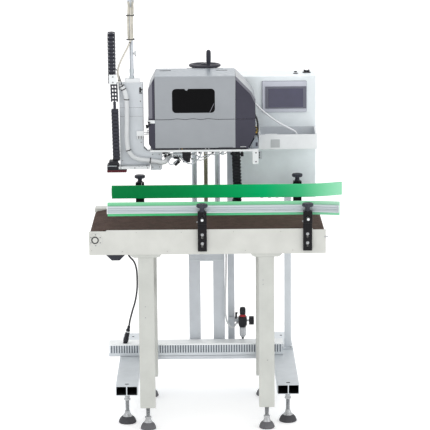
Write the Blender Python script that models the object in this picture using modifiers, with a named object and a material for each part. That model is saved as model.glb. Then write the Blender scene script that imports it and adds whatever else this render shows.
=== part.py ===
"""Print-and-apply labelling machine on its stand, with the belt conveyor that carries cartons under it.

Lengths are in metres, +Z is up, +X runs along the belt to the infeed end and +Y away from the operator.
Positions are written in the machine's own frame, whose origin is on the floor under the middle of the
conveyor's front face. The empty "machine" carries them to the middle of the whole footprint.
"""

import math

import bmesh
import bpy
from mathutils import Matrix, Vector

# ---- driving dimensions -------------------------------------------------------------------------
MACHINE_AT = (-0.0498, -0.4540, 0.0)
GAP = 0.0003  # left between pieces that touch

BELT_TOP = 0.879
CONVEYOR_LENGTH = 1.0
BEAM_HEIGHT = 0.107
CONVEYOR_DEPTH = 0.540
SHEET = 0.003
BELT_REAR = 0.475
BELT_THICK = 0.0025

ROLLER_R = 0.0235
ROLLER_X = 0.474
ROLLER_Z = 0.843

LEG_X = {"left": -0.262, "right": 0.249}
LEG_WIDTH, LEG_DEPTH, LEG_BOTTOM = 0.066, 0.040, 0.095

RAIL_X = {"left": -0.355, "right": 0.3437}
RAIL_WIDTH, RAIL_BOTTOM, RAIL_TOP = 0.096, 0.1325, 0.1767
RAIL_FRONT, RAIL_REAR, RAIL_WALL = 0.070, 0.970, 0.003

MAST_X = -0.0045
MAST_Y = 0.662
MAST_POST, MAST_TOP = 0.052, 0.634
ROD_R, ROD_SPREAD = 0.012, 0.0520
SCREW_R = 0.010
ROD_TOP = 1.462

GUIDE_HEIGHT, GUIDE_BOTTOM = 0.058, 0.933
STRIP_THICK, PROFILE_THICK, PROFILE_HEIGHT = 0.010, 0.0155, 0.032
GUIDE_ROD_R = 0.006
BRACKET_WIDTH = 0.038

PRINTER_FRONT, PRINTER_REAR = 0.300, 0.582
PRINTER_BASE, PRINTER_SEAM, PRINTER_TOP = 1.1697, 1.302, 1.4897
PLATE_TOP, PLATE_BOTTOM = 1.1694, 1.1604
COVER_LEFT, COVER_RIGHT = -0.2219, 0.1254

CABINET_LOW = (0.1225, 0.620, 0.8945)
CABINET_HIGH = (0.4914, 0.830, 1.4462)
POST = 0.030

COLUMN_FRONT, COLUMN_REAR = 0.330, 0.380
TAMP_X = -0.321

ROUND = 24  # sides of an ordinary round piece


# ---- scene and materials ------------------------------------------------------------------------
def clear_scene():
    for obj in list(bpy.data.objects):
        bpy.data.objects.remove(obj, do_unlink=True)


clear_scene()
PARTS = bpy.data.collections.new("labelling_machine")
CUTTERS = bpy.data.collections.new("cutters")
for made in (PARTS, CUTTERS):
    bpy.context.scene.collection.children.link(made)
CUTTERS.hide_render = True

MACHINE = bpy.data.objects.new("machine", None)
MACHINE.location = MACHINE_AT
PARTS.objects.link(MACHINE)


def material(name, colour, roughness, metallic=0.0):
    made = bpy.data.materials.new(name)
    made.use_nodes = True
    shader = made.node_tree.nodes["Principled BSDF"]
    shader.inputs["Base Color"].default_value = (*colour, 1.0)
    shader.inputs["Roughness"].default_value = roughness
    shader.inputs["Metallic"].default_value = metallic
    made.diffuse_color = (*colour, 1.0)
    return made


CREAM = material("cream_powder_coat", (0.66, 0.67, 0.63), 0.45)
GREY_BLUE = material("grey_powder_coat", (0.58, 0.62, 0.64), 0.45)
MAST_GREY = material("mast_grey", (0.47, 0.50, 0.53), 0.45)
SILVER = material("printer_silver", (0.38, 0.39, 0.41), 0.4)
SLATE = material("printer_slate", (0.07, 0.07, 0.10), 0.5)
WHITE = material("white_sheet", (0.80, 0.81, 0.82), 0.45)
BLACK = material("black_plastic", (0.02, 0.02, 0.025), 0.45)
GLASS = material("smoked_window", (0.01, 0.01, 0.012), 0.12)
GREEN = material("green_wear_strip", (0.0, 0.37, 0.10), 0.4)
BELT = material("belt_brown", (0.11, 0.08, 0.085), 0.7)
CHROME = material("hard_chrome", (0.60, 0.61, 0.63), 0.2, 1.0)
BRASS = material("bronze_screw", (0.32, 0.29, 0.16), 0.35, 0.8)
STEEL = material("zinc_steel", (0.55, 0.55, 0.56), 0.35, 1.0)
RUBBER = material("foot_rubber", (0.09, 0.09, 0.10), 0.8)
MAROON = material("maroon_pad", (0.16, 0.02, 0.03), 0.8)
CREAM_CABLE = material("cream_cable", (0.60, 0.56, 0.48), 0.6)
CLEAR = material("bowl_plastic", (0.60, 0.60, 0.63), 0.2)
PAPER = material("label_paper", (0.80, 0.79, 0.74), 0.8)


# ---- shape helpers ------------------------------------------------------------------------------
def place(obj, finish, collection=PARTS):
    collection.objects.link(obj)
    obj.parent = MACHINE
    obj.data.materials.append(finish)
    if collection is CUTTERS:
        obj.hide_render = True
        obj.display_type = "WIRE"
    return obj


def from_bmesh(name, bm, finish, collection=PARTS, at=(0, 0, 0)):
    bmesh.ops.recalc_face_normals(bm, faces=bm.faces)
    mesh = bpy.data.meshes.new(name)
    bm.to_mesh(mesh)
    bm.free()
    obj = place(bpy.data.objects.new(name, mesh), finish, collection)
    obj.location = at
    return obj


def box(name, low, high, finish=STEEL, collection=PARTS):
    low, high = Vector(low), Vector(high)
    bm = bmesh.new()
    bmesh.ops.create_cube(bm, size=1.0, matrix=Matrix.Diagonal((*(high - low), 1.0)))
    return from_bmesh(name, bm, finish, collection, (low + high) / 2)


def turn_to(axis):
    return Vector((0, 0, 1)).rotation_difference(Vector(axis)).to_matrix().to_4x4()


def rod(name, start, axis, length, radius, finish=STEEL, collection=PARTS, sides=ROUND, end_radius=None):
    """A cylinder, or a cone, from start along axis. Its origin is on the axis."""
    bm = bmesh.new()
    bmesh.ops.create_cone(
        bm,
        cap_ends=True,
        segments=sides,
        radius1=radius,
        radius2=radius if end_radius is None else end_radius,
        depth=length,
        matrix=turn_to(axis) @ Matrix.Translation((0, 0, length / 2)),
    )
    obj = from_bmesh(name, bm, finish, collection, start)
    smooth(obj)
    return obj


def smooth(obj, degrees=40):
    obj.data.shade_smooth()
    obj.data.set_sharp_from_angle(angle=math.radians(degrees))


def turned(name, profile, finish, at=(0, 0, 0), axis=(0, 0, 1), steps=ROUND, collection=PARTS):
    """Turns (radius, height) points about axis. The profile runs from the top down its outer side."""
    bm = bmesh.new()
    points = [bm.verts.new((radius, 0, height)) for radius, height in profile]
    for a, b in zip(points, points[1:]):
        bm.edges.new((a, b))
    mesh = bpy.data.meshes.new(name)
    bm.to_mesh(mesh)
    bm.free()
    obj = place(bpy.data.objects.new(name, mesh), finish, collection)
    obj.location = at
    obj.rotation_mode = "QUATERNION"
    obj.rotation_quaternion = turn_to(axis).to_quaternion()
    screw = obj.modifiers.new("turn", "SCREW")
    screw.axis = "Z"
    screw.steps = screw.render_steps = steps
    screw.use_merge_vertices = True
    screw.merge_threshold = 0.0001
    screw.use_smooth_shade = True
    return obj


def outline(name, points, plane, start, end, finish=STEEL, collection=PARTS):
    """A flat outline made solid. plane names its two axes, and it spans start to end on the third."""
    curve = bpy.data.curves.new(name, "CURVE")
    curve.dimensions = "2D"
    curve.fill_mode = "BOTH"
    curve.extrude = abs(end - start) / 2
    spline = curve.splines.new("POLY")
    spline.points.add(len(points) - 1)
    for knot, (u, v) in zip(spline.points, points):
        knot.co = (u, v, 0, 1)
    spline.use_cyclic_u = True
    guide = bpy.data.objects.new(name + "_outline", curve)
    CUTTERS.objects.link(guide)
    middle = (start + end) / 2
    turns = {
        "XY": Matrix.Translation((0, 0, middle)),
        "XZ": Matrix.Translation((0, middle, 0)) @ Matrix.Rotation(math.pi / 2, 4, "X"),
        "YZ": Matrix.Translation((middle, 0, 0)) @ Matrix(((0, 0, 1, 0), (1, 0, 0, 0), (0, 1, 0, 0), (0, 0, 0, 1))),
    }
    guide.matrix_world = turns[plane]
    bpy.context.view_layer.update()
    solid = bpy.data.meshes.new_from_object(guide.evaluated_get(bpy.context.evaluated_depsgraph_get()))
    bm = bmesh.new()
    bm.from_mesh(solid)
    bmesh.ops.remove_doubles(bm, verts=bm.verts, dist=1e-5)
    bmesh.ops.transform(bm, matrix=turns[plane], verts=bm.verts)
    bpy.data.objects.remove(guide, do_unlink=True)
    bpy.data.meshes.remove(solid)
    return from_bmesh(name, bm, finish, collection)


def tube(name, route, radius, finish, spacing):
    """A cord along a smooth curve through the route's points."""
    curve = bpy.data.curves.new(name, "CURVE")
    curve.dimensions = "3D"
    curve.bevel_depth = radius
    curve.bevel_resolution = 2
    curve.use_fill_caps = True
    curve.fill_mode = "FULL"
    points = smooth_route(route, spacing)
    spline = curve.splines.new("POLY")
    spline.points.add(len(points) - 1)
    for knot, point in zip(spline.points, points):
        knot.co = (*point, 1)
    return place(bpy.data.objects.new(name, curve), finish)


def smooth_route(route, spacing):
    """Points about `spacing` apart on a Catmull-Rom curve through the route."""
    knots = [Vector(p) for p in route]
    knots = [2 * knots[0] - knots[1], *knots, 2 * knots[-1] - knots[-2]]
    points = []
    for a, b, c, d in zip(knots, knots[1:], knots[2:], knots[3:]):
        count = max(1, round((c - b).length / spacing))
        for i in range(count):
            t = i / count
            points.append(
                0.5 * (2 * b + (c - a) * t + (2 * a - 5 * b + 4 * c - d) * t**2 + (3 * b - a - 3 * c + d) * t**3)
            )
    return [*points, knots[-2]]


def arc(centre, radius, start, end, count):
    """Points of a circle's arc, with angles in degrees."""
    angles = [math.radians(start + (end - start) * i / count) for i in range(count + 1)]
    return [(centre[0] + radius * math.cos(a), centre[1] + radius * math.sin(a)) for a in angles]


def boolean(obj, others, operation):
    for other in others:
        modifier = obj.modifiers.new(operation.lower(), "BOOLEAN")
        modifier.operation = operation
        modifier.solver = "EXACT"
        modifier.object = other


def cut(obj, *others):
    boolean(obj, others, "DIFFERENCE")


def join(obj, *others):
    boolean(obj, others, "UNION")


def helper_box(name, low, high):
    return box(name, low, high, collection=CUTTERS)


def helper_rod(name, start, axis, length, radius, **more):
    return rod(name, start, axis, length, radius, collection=CUTTERS, **more)


# ---- stand --------------------------------------------------------------------------------------
STAND_FEET_Y = (0.118, 0.922)
FOOT_PAD_R, STAND_PAD_R, STUD_R = 0.033, 0.038, 0.008


def base_rail(side):
    """A rectangular tube with a middle web, open at both ends, on two levelling feet locked by their nuts."""
    x = RAIL_X[side]
    half = RAIL_WIDTH / 2
    rail = box(f"base_rail_{side}", (x - half, RAIL_FRONT, RAIL_BOTTOM), (x + half, RAIL_REAR, RAIL_TOP), WHITE)
    for sign in (-1, 1):
        inner, outer = sorted((x + sign * RAIL_WALL / 2, x + sign * (half - RAIL_WALL)))
        low = (inner, RAIL_FRONT - 0.01, RAIL_BOTTOM + RAIL_WALL)
        high = (outer, RAIL_REAR + 0.01, RAIL_TOP - RAIL_WALL)
        cut(rail, helper_box(f"rail_{side}_bore", low, high))
    for y in STAND_FEET_Y:
        join(rail, levelling_foot(f"stand_foot_{side}", x, y, RAIL_BOTTOM + 0.012, STAND_PAD_R))


def levelling_foot(name, x, y, height, pad_r):
    """A rubber pad, a ball, a lock nut and a stud that ends inside the leg."""
    profile = [
        (0, height),
        (STUD_R, height),
        (STUD_R, 0.060),
        (STUD_R + 0.0065, 0.057),
        (STUD_R + 0.0065, 0.047),
        (STUD_R + 0.001, 0.042),
        (0.014, 0.031),
        (pad_r - 0.008, 0.020),
        (pad_r, 0.010),
        (pad_r, 0.002),
        (pad_r - 0.002, 0.0),
        (0, 0.0),
    ]
    return turned(name, profile, RUBBER, (x, y, 0), steps=16, collection=CUTTERS)


def stand():
    for side in RAIL_X:
        base_rail(side)
    wiring_duct()


DUCT_LOW = (-0.4536, 0.553, RAIL_TOP + GAP)
DUCT_HIGH = (0.340, 0.632, 0.220)


def wiring_duct():
    """A cable trough with a clipped-on top, open at both ends."""
    duct = box("wiring_duct", DUCT_LOW, DUCT_HIGH, WHITE)
    wall = 0.002
    low = (DUCT_LOW[0] - 0.01, DUCT_LOW[1] + wall, DUCT_LOW[2] + wall)
    high = (DUCT_HIGH[0] + 0.01, DUCT_HIGH[1] - wall, DUCT_HIGH[2] - wall)
    cut(duct, helper_box("duct_bore", low, high))


# ---- mast and lift ------------------------------------------------------------------------------
def mast():
    """A cross plate with a gate and the cabinet's left post welded to it, two guide rods and the lift screw."""
    half = 0.0815
    chamfer = 0.008
    low, top = 0.170, MAST_TOP
    gate = [
        (MAST_X - half, low),
        (MAST_X - half, top - chamfer),
        (MAST_X - half + chamfer, top),
        (MAST_X + half - chamfer, top),
        (MAST_X + half, top - chamfer),
        (MAST_X + half, low),
        (MAST_X + half - MAST_POST, low),
        (MAST_X + half - MAST_POST, top - 0.034),
        (MAST_X - half + MAST_POST, top - 0.034),
        (MAST_X - half + MAST_POST, low),
    ]
    frame = outline("mast_frame", gate, "XZ", MAST_Y - 0.025, MAST_Y + 0.025, MAST_GREY)
    inner = {side: x - math.copysign(RAIL_WIDTH / 2 + GAP, x) for side, x in RAIL_X.items()}
    plate = helper_box("cross_plate", (inner["left"], 0.553, 0.1605), (inner["right"], 0.722, RAIL_TOP))
    post = CABINET_LOW[0] - GAP
    join(frame, plate, helper_box("cabinet_post_left", (post - POST, 0.672, 0.170), (post, 0.702, 1.250)))
    rod_bottom = MAST_TOP + GAP
    for side, sign in (("left", -1), ("right", 1)):
        start = (MAST_X + sign * ROD_SPREAD, MAST_Y, rod_bottom)
        rod(f"guide_rod_{side}", start, (0, 0, 1), ROD_TOP - GAP - rod_bottom, ROD_R, CHROME)
    head = box(
        "mast_head", (MAST_X - half, MAST_Y - 0.028, ROD_TOP), (MAST_X + half, MAST_Y + 0.028, 1.478), BLACK
    )
    cut(head, helper_rod("head_bore", (MAST_X, MAST_Y, ROD_TOP - 0.01), (0, 0, 1), 0.04, SCREW_R + 0.0008))
    rod("lead_screw", (MAST_X, MAST_Y, rod_bottom + 0.001), (0, 0, 1), 1.4840 - rod_bottom, SCREW_R, BRASS)
    handwheel()


WHEEL_Z, WHEEL_R = 1.4935, 0.072
GRIP_AT = (0.0125, 0.607)


def handwheel():
    """A dished wheel on the screw, with a grip on its rim."""
    profile = [
        (0, WHEEL_Z + 0.010),
        (0.018, WHEEL_Z + 0.010),
        (0.021, WHEEL_Z - 0.001),
        (0.050, WHEEL_Z - 0.001),
        (0.056, WHEEL_Z + 0.006),
        (0.066, WHEEL_Z + 0.006),
        (WHEEL_R, WHEEL_Z),
        (0.066, WHEEL_Z - 0.006),
        (0.021, WHEEL_Z - 0.005),
        (0.018, WHEEL_Z - 0.0085),
        (0, WHEEL_Z - 0.0085),
    ]
    wheel = turned("handwheel", profile, BLACK, (MAST_X, MAST_Y, 0), steps=32)
    bottom = WHEEL_Z + 0.002
    grip = [
        (0, bottom + 0.068),
        (0.007, bottom + 0.066),
        (0.0095, bottom + 0.056),
        (0.0095, bottom + 0.030),
        (0.0070, bottom + 0.010),
        (0.0070, bottom),
        (0, bottom),
    ]
    join(wheel, turned("handwheel_grip", grip, BLACK, (*GRIP_AT, 0), steps=16, collection=CUTTERS))


CARRIAGE_Z = (1.200, 1.320)


def lift_carriage():
    """The block that runs on the rods, with the bronze nut in it, and the arms that hold the plate."""
    half = 0.0815
    block = box(
        "lift_carriage", (MAST_X - half, 0.617, CARRIAGE_Z[0]), (MAST_X + half, 0.704, CARRIAGE_Z[1]), GREY_BLUE
    )
    foot = helper_box("carriage_foot", (MAST_X - half, 0.560, PLATE_BOTTOM + 0.0093), (MAST_X + half, 0.630, 1.205))
    web = helper_box("carriage_web", (MAST_X - half, 0.5825, 1.19), (MAST_X + half, 0.630, 1.27))
    notch = helper_box("carriage_notch", (MAST_X - 0.1, 0.550, PRINTER_BASE - 0.02), (MAST_X + 0.1, 0.5823, 1.30))
    join(block, foot, web)
    cut(block, notch)
    for name, offset, radius in (("left", -ROD_SPREAD, ROD_R), ("right", ROD_SPREAD, ROD_R), ("nut", 0, SCREW_R)):
        start = (MAST_X + offset, MAST_Y, 1.1)
        cut(block, helper_rod(f"carriage_bore_{name}", start, (0, 0, 1), 0.4, radius + 0.0008))


def printer_plate():
    """The folded plate under the printer, with an eared bracket at its right end."""
    plate = box("printer_plate", (-0.2454, PRINTER_FRONT - 0.002, PLATE_BOTTOM), (0.225, 0.612, PLATE_TOP), WHITE)
    ear = helper_box("plate_ear", (0.199, PRINTER_FRONT - 0.002, 1.111), (0.225, PRINTER_FRONT + 0.002, 1.165))
    shelf = helper_box("plate_shelf", (0.215, PRINTER_FRONT, 1.111), (0.225, PRINTER_FRONT + 0.060, 1.165))
    join(plate, ear, shelf)
    for z in (1.152, 1.119):
        cut(plate, helper_rod("ear_hole", (0.2105, PRINTER_FRONT - 0.02, z), (0, 1, 0), 0.05, 0.0025, sides=12))


# ---- printer ------------------------------------------------------------------------------------
def hull_points(inset=0.0):
    """The printer's front outline, (X, Z), shrunk by inset."""
    return [
        (-0.2219 + inset * 0.7, PRINTER_TOP - inset),
        (-0.2500 + inset, 1.437 - inset * 0.4),
        (-0.2500 + inset, 1.196 + inset * 0.4),
        (-0.2330 + inset * 0.6, PRINTER_BASE + inset),
        (0.1780 - inset * 0.6, PRINTER_BASE + inset),
        (0.2125 - inset, 1.236 + inset * 0.4),
        (0.2125 - inset, 1.390 - inset * 0.4),
        (0.1960 - inset * 0.8, 1.4205 - inset * 0.5),
        (0.1290 - inset * 0.7, PRINTER_TOP - inset),
    ]


SHELL = 0.003
LID_HINGE = (0.0, PRINTER_REAR, PRINTER_TOP)


def printer_body():
    """The dark lower tub with its back wall, front cover and printhead, and the label slot in its left cheek."""
    front, rear = PRINTER_FRONT, PRINTER_REAR
    body = outline("printer_chassis", hull_points(), "XZ", front + SHELL - 0.001, rear, SLATE)
    hollow = outline("chassis_hollow", hull_points(SHELL), "XZ", front + 0.010, rear - 0.008, STEEL, CUTTERS)
    upper = helper_box("chassis_upper", (-0.3, front - 0.02, PRINTER_SEAM - 0.0004), (0.3, rear - 0.0082, 1.6))
    inside = hull_points(SHELL + 0.0015)
    around = outline("chassis_around", inside, "XZ", rear - 0.03, rear + 0.02, STEEL, CUTTERS)
    rim = helper_box("chassis_rim", (-0.3, rear - 0.0100, PRINTER_SEAM - 0.0004), (0.3, rear + 0.01, 1.6))
    cut(rim, around)
    slot = helper_box("label_slot", (-0.28, front + 0.045, 1.268), (-0.22, front + 0.185, 1.286))
    cut(body, hollow, upper, rim, slot)
    low, high = (COVER_LEFT, front, PRINTER_BASE + 0.008), (COVER_RIGHT, front + SHELL, PRINTER_SEAM - 0.0004)
    head_rear = rear - 0.005
    head = helper_box("printhead", (-0.222, 0.345, 1.2550), (-0.180, head_rear, 1.2990))
    join(body, helper_box("front_cover", low, high), head)


WINDOW_LOW, WINDOW_HIGH = (-0.1472, 1.331), (0.0378, 1.436)


def printer_lid():
    """The hood above the seam. It hinges at the roof's rear edge and has a smoked window in its front."""
    front, rear = PRINTER_FRONT, PRINTER_REAR
    lid = outline("printer_lid", hull_points(), "XZ", front, rear, SILVER)
    hollow = outline("lid_hollow", hull_points(SHELL), "XZ", front + SHELL, rear + 0.02, STEEL, CUTTERS)
    lower = helper_box("lid_lower", (-0.3, front - 0.02, 1.1), (0.3, rear + 0.02, PRINTER_SEAM + 0.0006))
    (x0, z0), (x1, z1) = WINDOW_LOW, WINDOW_HIGH
    hole = helper_box("window_hole", (x0, front - 0.02, z0), (x1, front + 0.02, z1))
    cut(lid, hollow, lower, hole)
    pane = (x0 + GAP, front + 0.0005, z0 + GAP), (x1 - GAP, front + 0.0025, z1 - GAP)
    box("lid_window", *pane, GLASS)


SPINDLES = {
    # name: (x, z, radius, start y, length)
    "label_roll": (0.085, 1.290, 0.085, 0.345, 0.110),
    "liner_rewind": (-0.120, 1.385, 0.032, 0.345, 0.110),
    "platen_roller": (-0.205, 1.235, 0.013, 0.345, 0.110),
}


def printer_inside():
    """Label roll, liner rewind and platen roller, each on a spindle out of the back wall."""
    wall = PRINTER_REAR - 0.008
    for name, (x, z, radius, start, length) in SPINDLES.items():
        core = min(radius * 0.4, 0.010)
        profile = [
            (0, start - 0.006),
            (core, start - 0.006),
            (core, start),
            (radius, start),
            (radius, start + length),
            (core, start + length),
            (core, wall - GAP),
            (0, wall - GAP),
        ]
        profile.reverse()
        finish = PAPER if name == "label_roll" else BLACK
        turned(name, profile, finish, (x, 0, z), axis=(0, 1, 0), steps=ROUND)


# ---- applicator ---------------------------------------------------------------------------------
def applicator_column():
    """A hollow column open at the bottom, with an arm to the plate and a block that holds the cylinder."""
    column = outline(
        "applicator_column",
        [
            (-0.3757, 1.1005),
            (-0.3757, 1.4645),
            (-0.2733, 1.4645),
            (-0.2733, 1.176),
            (-0.258, 1.1600),
            (-0.1945, 1.1600),
            (-0.1945, 1.082),
            (-0.2000, 1.077),
            (-0.2440, 1.077),
            (-0.2440, 1.1005),
        ],
        "XZ",
        COLUMN_FRONT,
        COLUMN_REAR,
        GREY_BLUE,
    )
    wall = 0.004
    low = (-0.3757 + wall, COLUMN_FRONT + wall, 1.05)
    high = (-0.2733 - wall, COLUMN_REAR - wall, 1.4645 - wall)
    cut(column, helper_box("column_hollow", low, high))
    join(column, helper_box("cylinder_block", (-0.352, 0.336, 1.462), (-0.286, 0.374, 1.4775)))


CYLINDER_TOP = 1.7900


def air_cylinder():
    """The slim cylinder that stands on the column, with a flow valve at its side and a cable cap on top."""
    profile = [
        (0, 1.8300),
        (0.009, 1.8280),
        (0.011, 1.8200),
        (0.011, CYLINDER_TOP + 0.004),
        (0.007, CYLINDER_TOP),
        (0.007, 1.4900),
        (0.010, 1.4880),
        (0.010, 1.4775 + GAP),
        (0, 1.4775 + GAP),
    ]
    turned("air_cylinder", profile, CHROME, (TAMP_X, 0.355, 0), steps=16)


TAMP_TOP = 1.0990


def tamp_head():
    """The plate under the column with two guide rods that run up inside it, and the valve block at its left."""
    head = box("tamp_head", (-0.3820, 0.290, 1.0885), (-0.2476, 0.372, TAMP_TOP), WHITE)
    join(head, helper_box("tamp_block", (-0.4318, 0.290, 1.0885), (-0.3810, 0.350, 1.1232)))
    for offset in (-0.028, 0.028):
        start = (TAMP_X + offset, 0.355, TAMP_TOP - 0.004)
        join(head, helper_rod("tamp_rod", start, (0, 0, 1), 0.300, 0.005, sides=12))
    box("tamp_pad", (-0.4323, 0.288, 1.0745), (-0.3477, 0.374, 1.0885 - GAP), MAROON)


def chain_band(name, spine, half, low, high, finish=BLACK):
    """A cable chain seen edge-on: an upright U in Y and Z, spanning low to high in X."""
    (y_front, y_rear), (z_front, z_rear), top = spine
    radius = (y_rear - y_front) / 2
    middle = (y_front + radius, top - radius - half)
    outer = [(y_front - half, z_front), *arc(middle, radius + half, 180, 0, 8), (y_rear + half, z_rear)]
    inner = [(y_rear - half, z_rear), *arc(middle, radius - half, 0, 180, 8), (y_front + half, z_front)]
    return outline(name, outer + inner, "YZ", low, high, finish)


def applicator_chain():
    """The cable chain beside the column: a long strand to the tamp head and a short one to its bracket."""
    chain = chain_band("applicator_chain", ((0.3160, 0.3640), (1.1250, 1.4900), 1.6810), 0.010, -0.4160, -0.3860)
    join(chain, helper_box("chain_bracket", (-0.4160, 0.3500, 1.4600), (-0.3760, 0.3760, 1.4980)))


HOSE_ROUTE = (
    (-0.367, 0.318, 1.453),
    (-0.352, 0.316, 1.427),
    (-0.344, 0.315, 1.388),
    (-0.343, 0.315, 1.323),
    (-0.345, 0.315, 1.257),
    (-0.344, 0.315, 1.196),
    (-0.337, 0.315, 1.163),
    (-0.319, 0.315, 1.140),
    (-0.294, 0.315, 1.128),
    (-0.268, 0.315, 1.124),
    (-0.242, 0.315, 1.121),
    (-0.216, 0.315, 1.117),
    (-0.194, 0.3165, 1.113),
    (-0.179, 0.3260, 1.116),
    (-0.170, 0.3450, 1.127),
    (-0.161, 0.3590, 1.1342),
    (-0.1505, 0.3605, 1.1352),
)
CABLE_ROUTE = (
    (-0.321, 0.336, 1.7860),
    (-0.321, 0.3345, 1.7600),
    (-0.321, 0.3345, 1.7060),
    (-0.3215, 0.3345, 1.6560),
    (-0.326, 0.334, 1.6360),
    (-0.339, 0.332, 1.6080),
    (-0.358, 0.330, 1.5720),
    (-0.372, 0.328, 1.5420),
    (-0.379, 0.324, 1.5150),
    (-0.378, 0.320, 1.4900),
    (-0.372, 0.318, 1.4640),
)


def applicator_cords():
    tube("applicator_hose", HOSE_ROUTE, 0.0105, WHITE, 0.022)
    tube("sensor_cable", CABLE_ROUTE, 0.004, CREAM_CABLE, 0.016)


def valve_block():
    """The solenoid valve under the plate with a small pressure regulator tilted beside it."""
    block = box("valve_block", (-0.1070, 0.345, 1.1060), (-0.0685, 0.385, PLATE_BOTTOM - GAP), BLACK)
    join(block, helper_box("valve_manifold", (-0.1480, 0.345, 1.1225), (-0.1050, 0.378, 1.1500)))
    join(block, helper_rod("tilted_regulator", (-0.1120, 0.360, 1.1150), (-0.75, 0, -0.66), 0.030, 0.0085, sides=16))


# ---- lift cable chain and cords of the frame -----------------------------------------------------
def lift_chain():
    """The cable chain from the conveyor's rear beam up to the printer plate."""
    points = [(0.1110, BELT_TOP + GAP), (0.1480, BELT_TOP + GAP), (0.1560, 0.940), (0.1530, 1.010), (0.1480, 1.1600 - GAP)]
    points += [(0.1100, 1.1600 - GAP), (0.1130, 1.010), (0.1180, 0.940)]
    outline("lift_chain", points, "XZ", 0.500, 0.530, BLACK)


MOTOR_CABLE_ROUTE = (
    (-0.3700, 0.4400, 0.7240),
    (-0.3640, 0.4500, 0.6960),
    (-0.3480, 0.4700, 0.6600),
    (-0.3300, 0.4900, 0.6330),
    (-0.3200, 0.5050, 0.5950),
    (-0.3180, 0.5150, 0.5450),
    (-0.3200, 0.5250, 0.4950),
    (-0.3290, 0.5350, 0.4400),
    (-0.3420, 0.5450, 0.3950),
    (-0.3540, 0.5540, 0.3500),
    (-0.3600, 0.5600, 0.3180),
)
PLUG_TOP = MOTOR_CABLE_ROUTE[-1]
PLUG_AXIS = (-0.22, 0.16, -0.96)
PLUG_LENGTH = 0.0960
AIR_HOSE_ROUTE = (
    (0.0860, 0.6500, 0.7600),
    (0.0860, 0.6450, 0.7000),
    (0.0850, 0.6350, 0.6300),
    (0.0830, 0.6250, 0.5370),
    (0.0800, 0.6200, 0.4400),
    (0.0790, 0.6200, 0.3700),
    (0.0840, 0.6200, 0.3280),
    (0.0950, 0.6180, 0.3030),
    (0.1070, 0.6170, 0.2900),
    (0.1190, 0.6270, 0.2930),
    (0.1270, 0.6370, 0.3030),
    (0.1370, 0.6400, 0.3080),
)
DATA_CABLE_ROUTE = (
    (0.1700, 0.5825, 1.3620),
    (0.1702, 0.5915, 1.3618),
    (0.1790, 0.5985, 1.3570),
    (0.1940, 0.5995, 1.3490),
    (0.2090, 0.5960, 1.3380),
    (0.2240, 0.5900, 1.3240),
    (0.2520, 0.5790, 1.2970),
    (0.2930, 0.5680, 1.2650),
    (0.3280, 0.5620, 1.2420),
    (0.3620, 0.5580, 1.2240),
    (0.3860, 0.5560, 1.2120),
    (0.4000, 0.5560, 1.2000),
    (0.4060, 0.5560, 1.1800),
    (0.4060, 0.5560, 1.1580),
)


def frame_cords():
    tube("motor_cable", MOTOR_CABLE_ROUTE, 0.0040, BLACK, 0.020)
    start = Vector(PLUG_TOP) + Vector(PLUG_AXIS).normalized() * GAP
    rod("motor_cable_connector", start, PLUG_AXIS, PLUG_LENGTH, 0.0070, BLACK, sides=12, end_radius=0.0100)
    tube("air_hose", AIR_HOSE_ROUTE, 0.0040, WHITE, 0.020)
    tube("data_cable", DATA_CABLE_ROUTE, 0.0040, WHITE, 0.016)


# ---- control cabinet ----------------------------------------------------------------------------
SWITCH_AT, BUTTON_AT = (0.456, 0.743), (0.4045, 0.711)


def cabinet():
    low, high = Vector(CABINET_LOW), Vector(CABINET_HIGH)
    wall = Vector((0.003, 0.003, 0.003))
    shell = box("cabinet_shell", low, high, GREY_BLUE)
    inside = low + wall, Vector((high.x - wall.x, high.y + 0.02, high.z - wall.z))
    cut(shell, helper_box("cabinet_inside", *inside))
    x, y = SWITCH_AT
    base = helper_box("rocker_base", (x - 0.018, y - 0.014, high.z - 0.001), (x + 0.018, y + 0.014, high.z + 0.002))
    join(shell, base, helper_rod("button_base", (*BUTTON_AT, high.z - 0.001), (0, 0, 1), 0.003, 0.011, sides=16))
    door_low = (low.x, high.y + GAP, low.z)
    box("cabinet_door", door_low, (high.x, high.y + 0.008, high.z), GREY_BLUE)
    plate = low.x + wall.x + 0.005
    panel = box("electronics_panel", (plate, 0.640, 0.930), (plate + 0.003, 0.815, 1.410), STEEL)
    modules = ((0.660, 1.300, 0.110, 0.075), (0.655, 1.130, 0.140, 0.060), (0.670, 0.960, 0.080, 0.055))
    for index, (y, z, tall, deep) in enumerate(modules):
        corner = (plate + deep, y + 0.120, z + tall)
        join(panel, helper_box(f"panel_module_{index}", (plate + 0.001, y, z), corner))
    screen = box("touch_screen", (0.2514, low.y - 0.012, 1.281), (0.4487, low.y - GAP, 1.419), WHITE)
    join(screen, helper_box("display", (0.2632, low.y - 0.0150, 1.2960), (0.4470, low.y - 0.0100, 1.4010)))
    cable_tray(low.y - GAP)
    switches(high.z)


TRAY_FRONT, TRAY_SPAN = 0.480, (0.2306, 0.4899)


def cable_tray(rear):
    """An open tray on the cabinet's front, higher at the back."""
    side = [(TRAY_FRONT, 1.1384), (rear, 1.1384), (rear, 1.2200), (TRAY_FRONT, 1.2040)]
    tray = outline("cable_tray", side, "YZ", *TRAY_SPAN, WHITE)
    wall = 0.0025
    low = (TRAY_SPAN[0] + wall, TRAY_FRONT + wall, 1.1384 + wall)
    cut(tray, helper_box("tray_inside", low, (TRAY_SPAN[1] - wall, rear - wall, 1.30)))




def switches(top):
    """The mains rocker and the start button on their bases on the cabinet's roof."""
    x, y = SWITCH_AT
    box("mains_rocker", (x - 0.013, y - 0.010, top + 0.0045), (x + 0.013, y + 0.010, top + 0.0145), BLACK)
    rod("start_button", (*BUTTON_AT, top + 0.0055), (0, 0, 1), 0.0055, 0.007, BLACK, sides=16)


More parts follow.
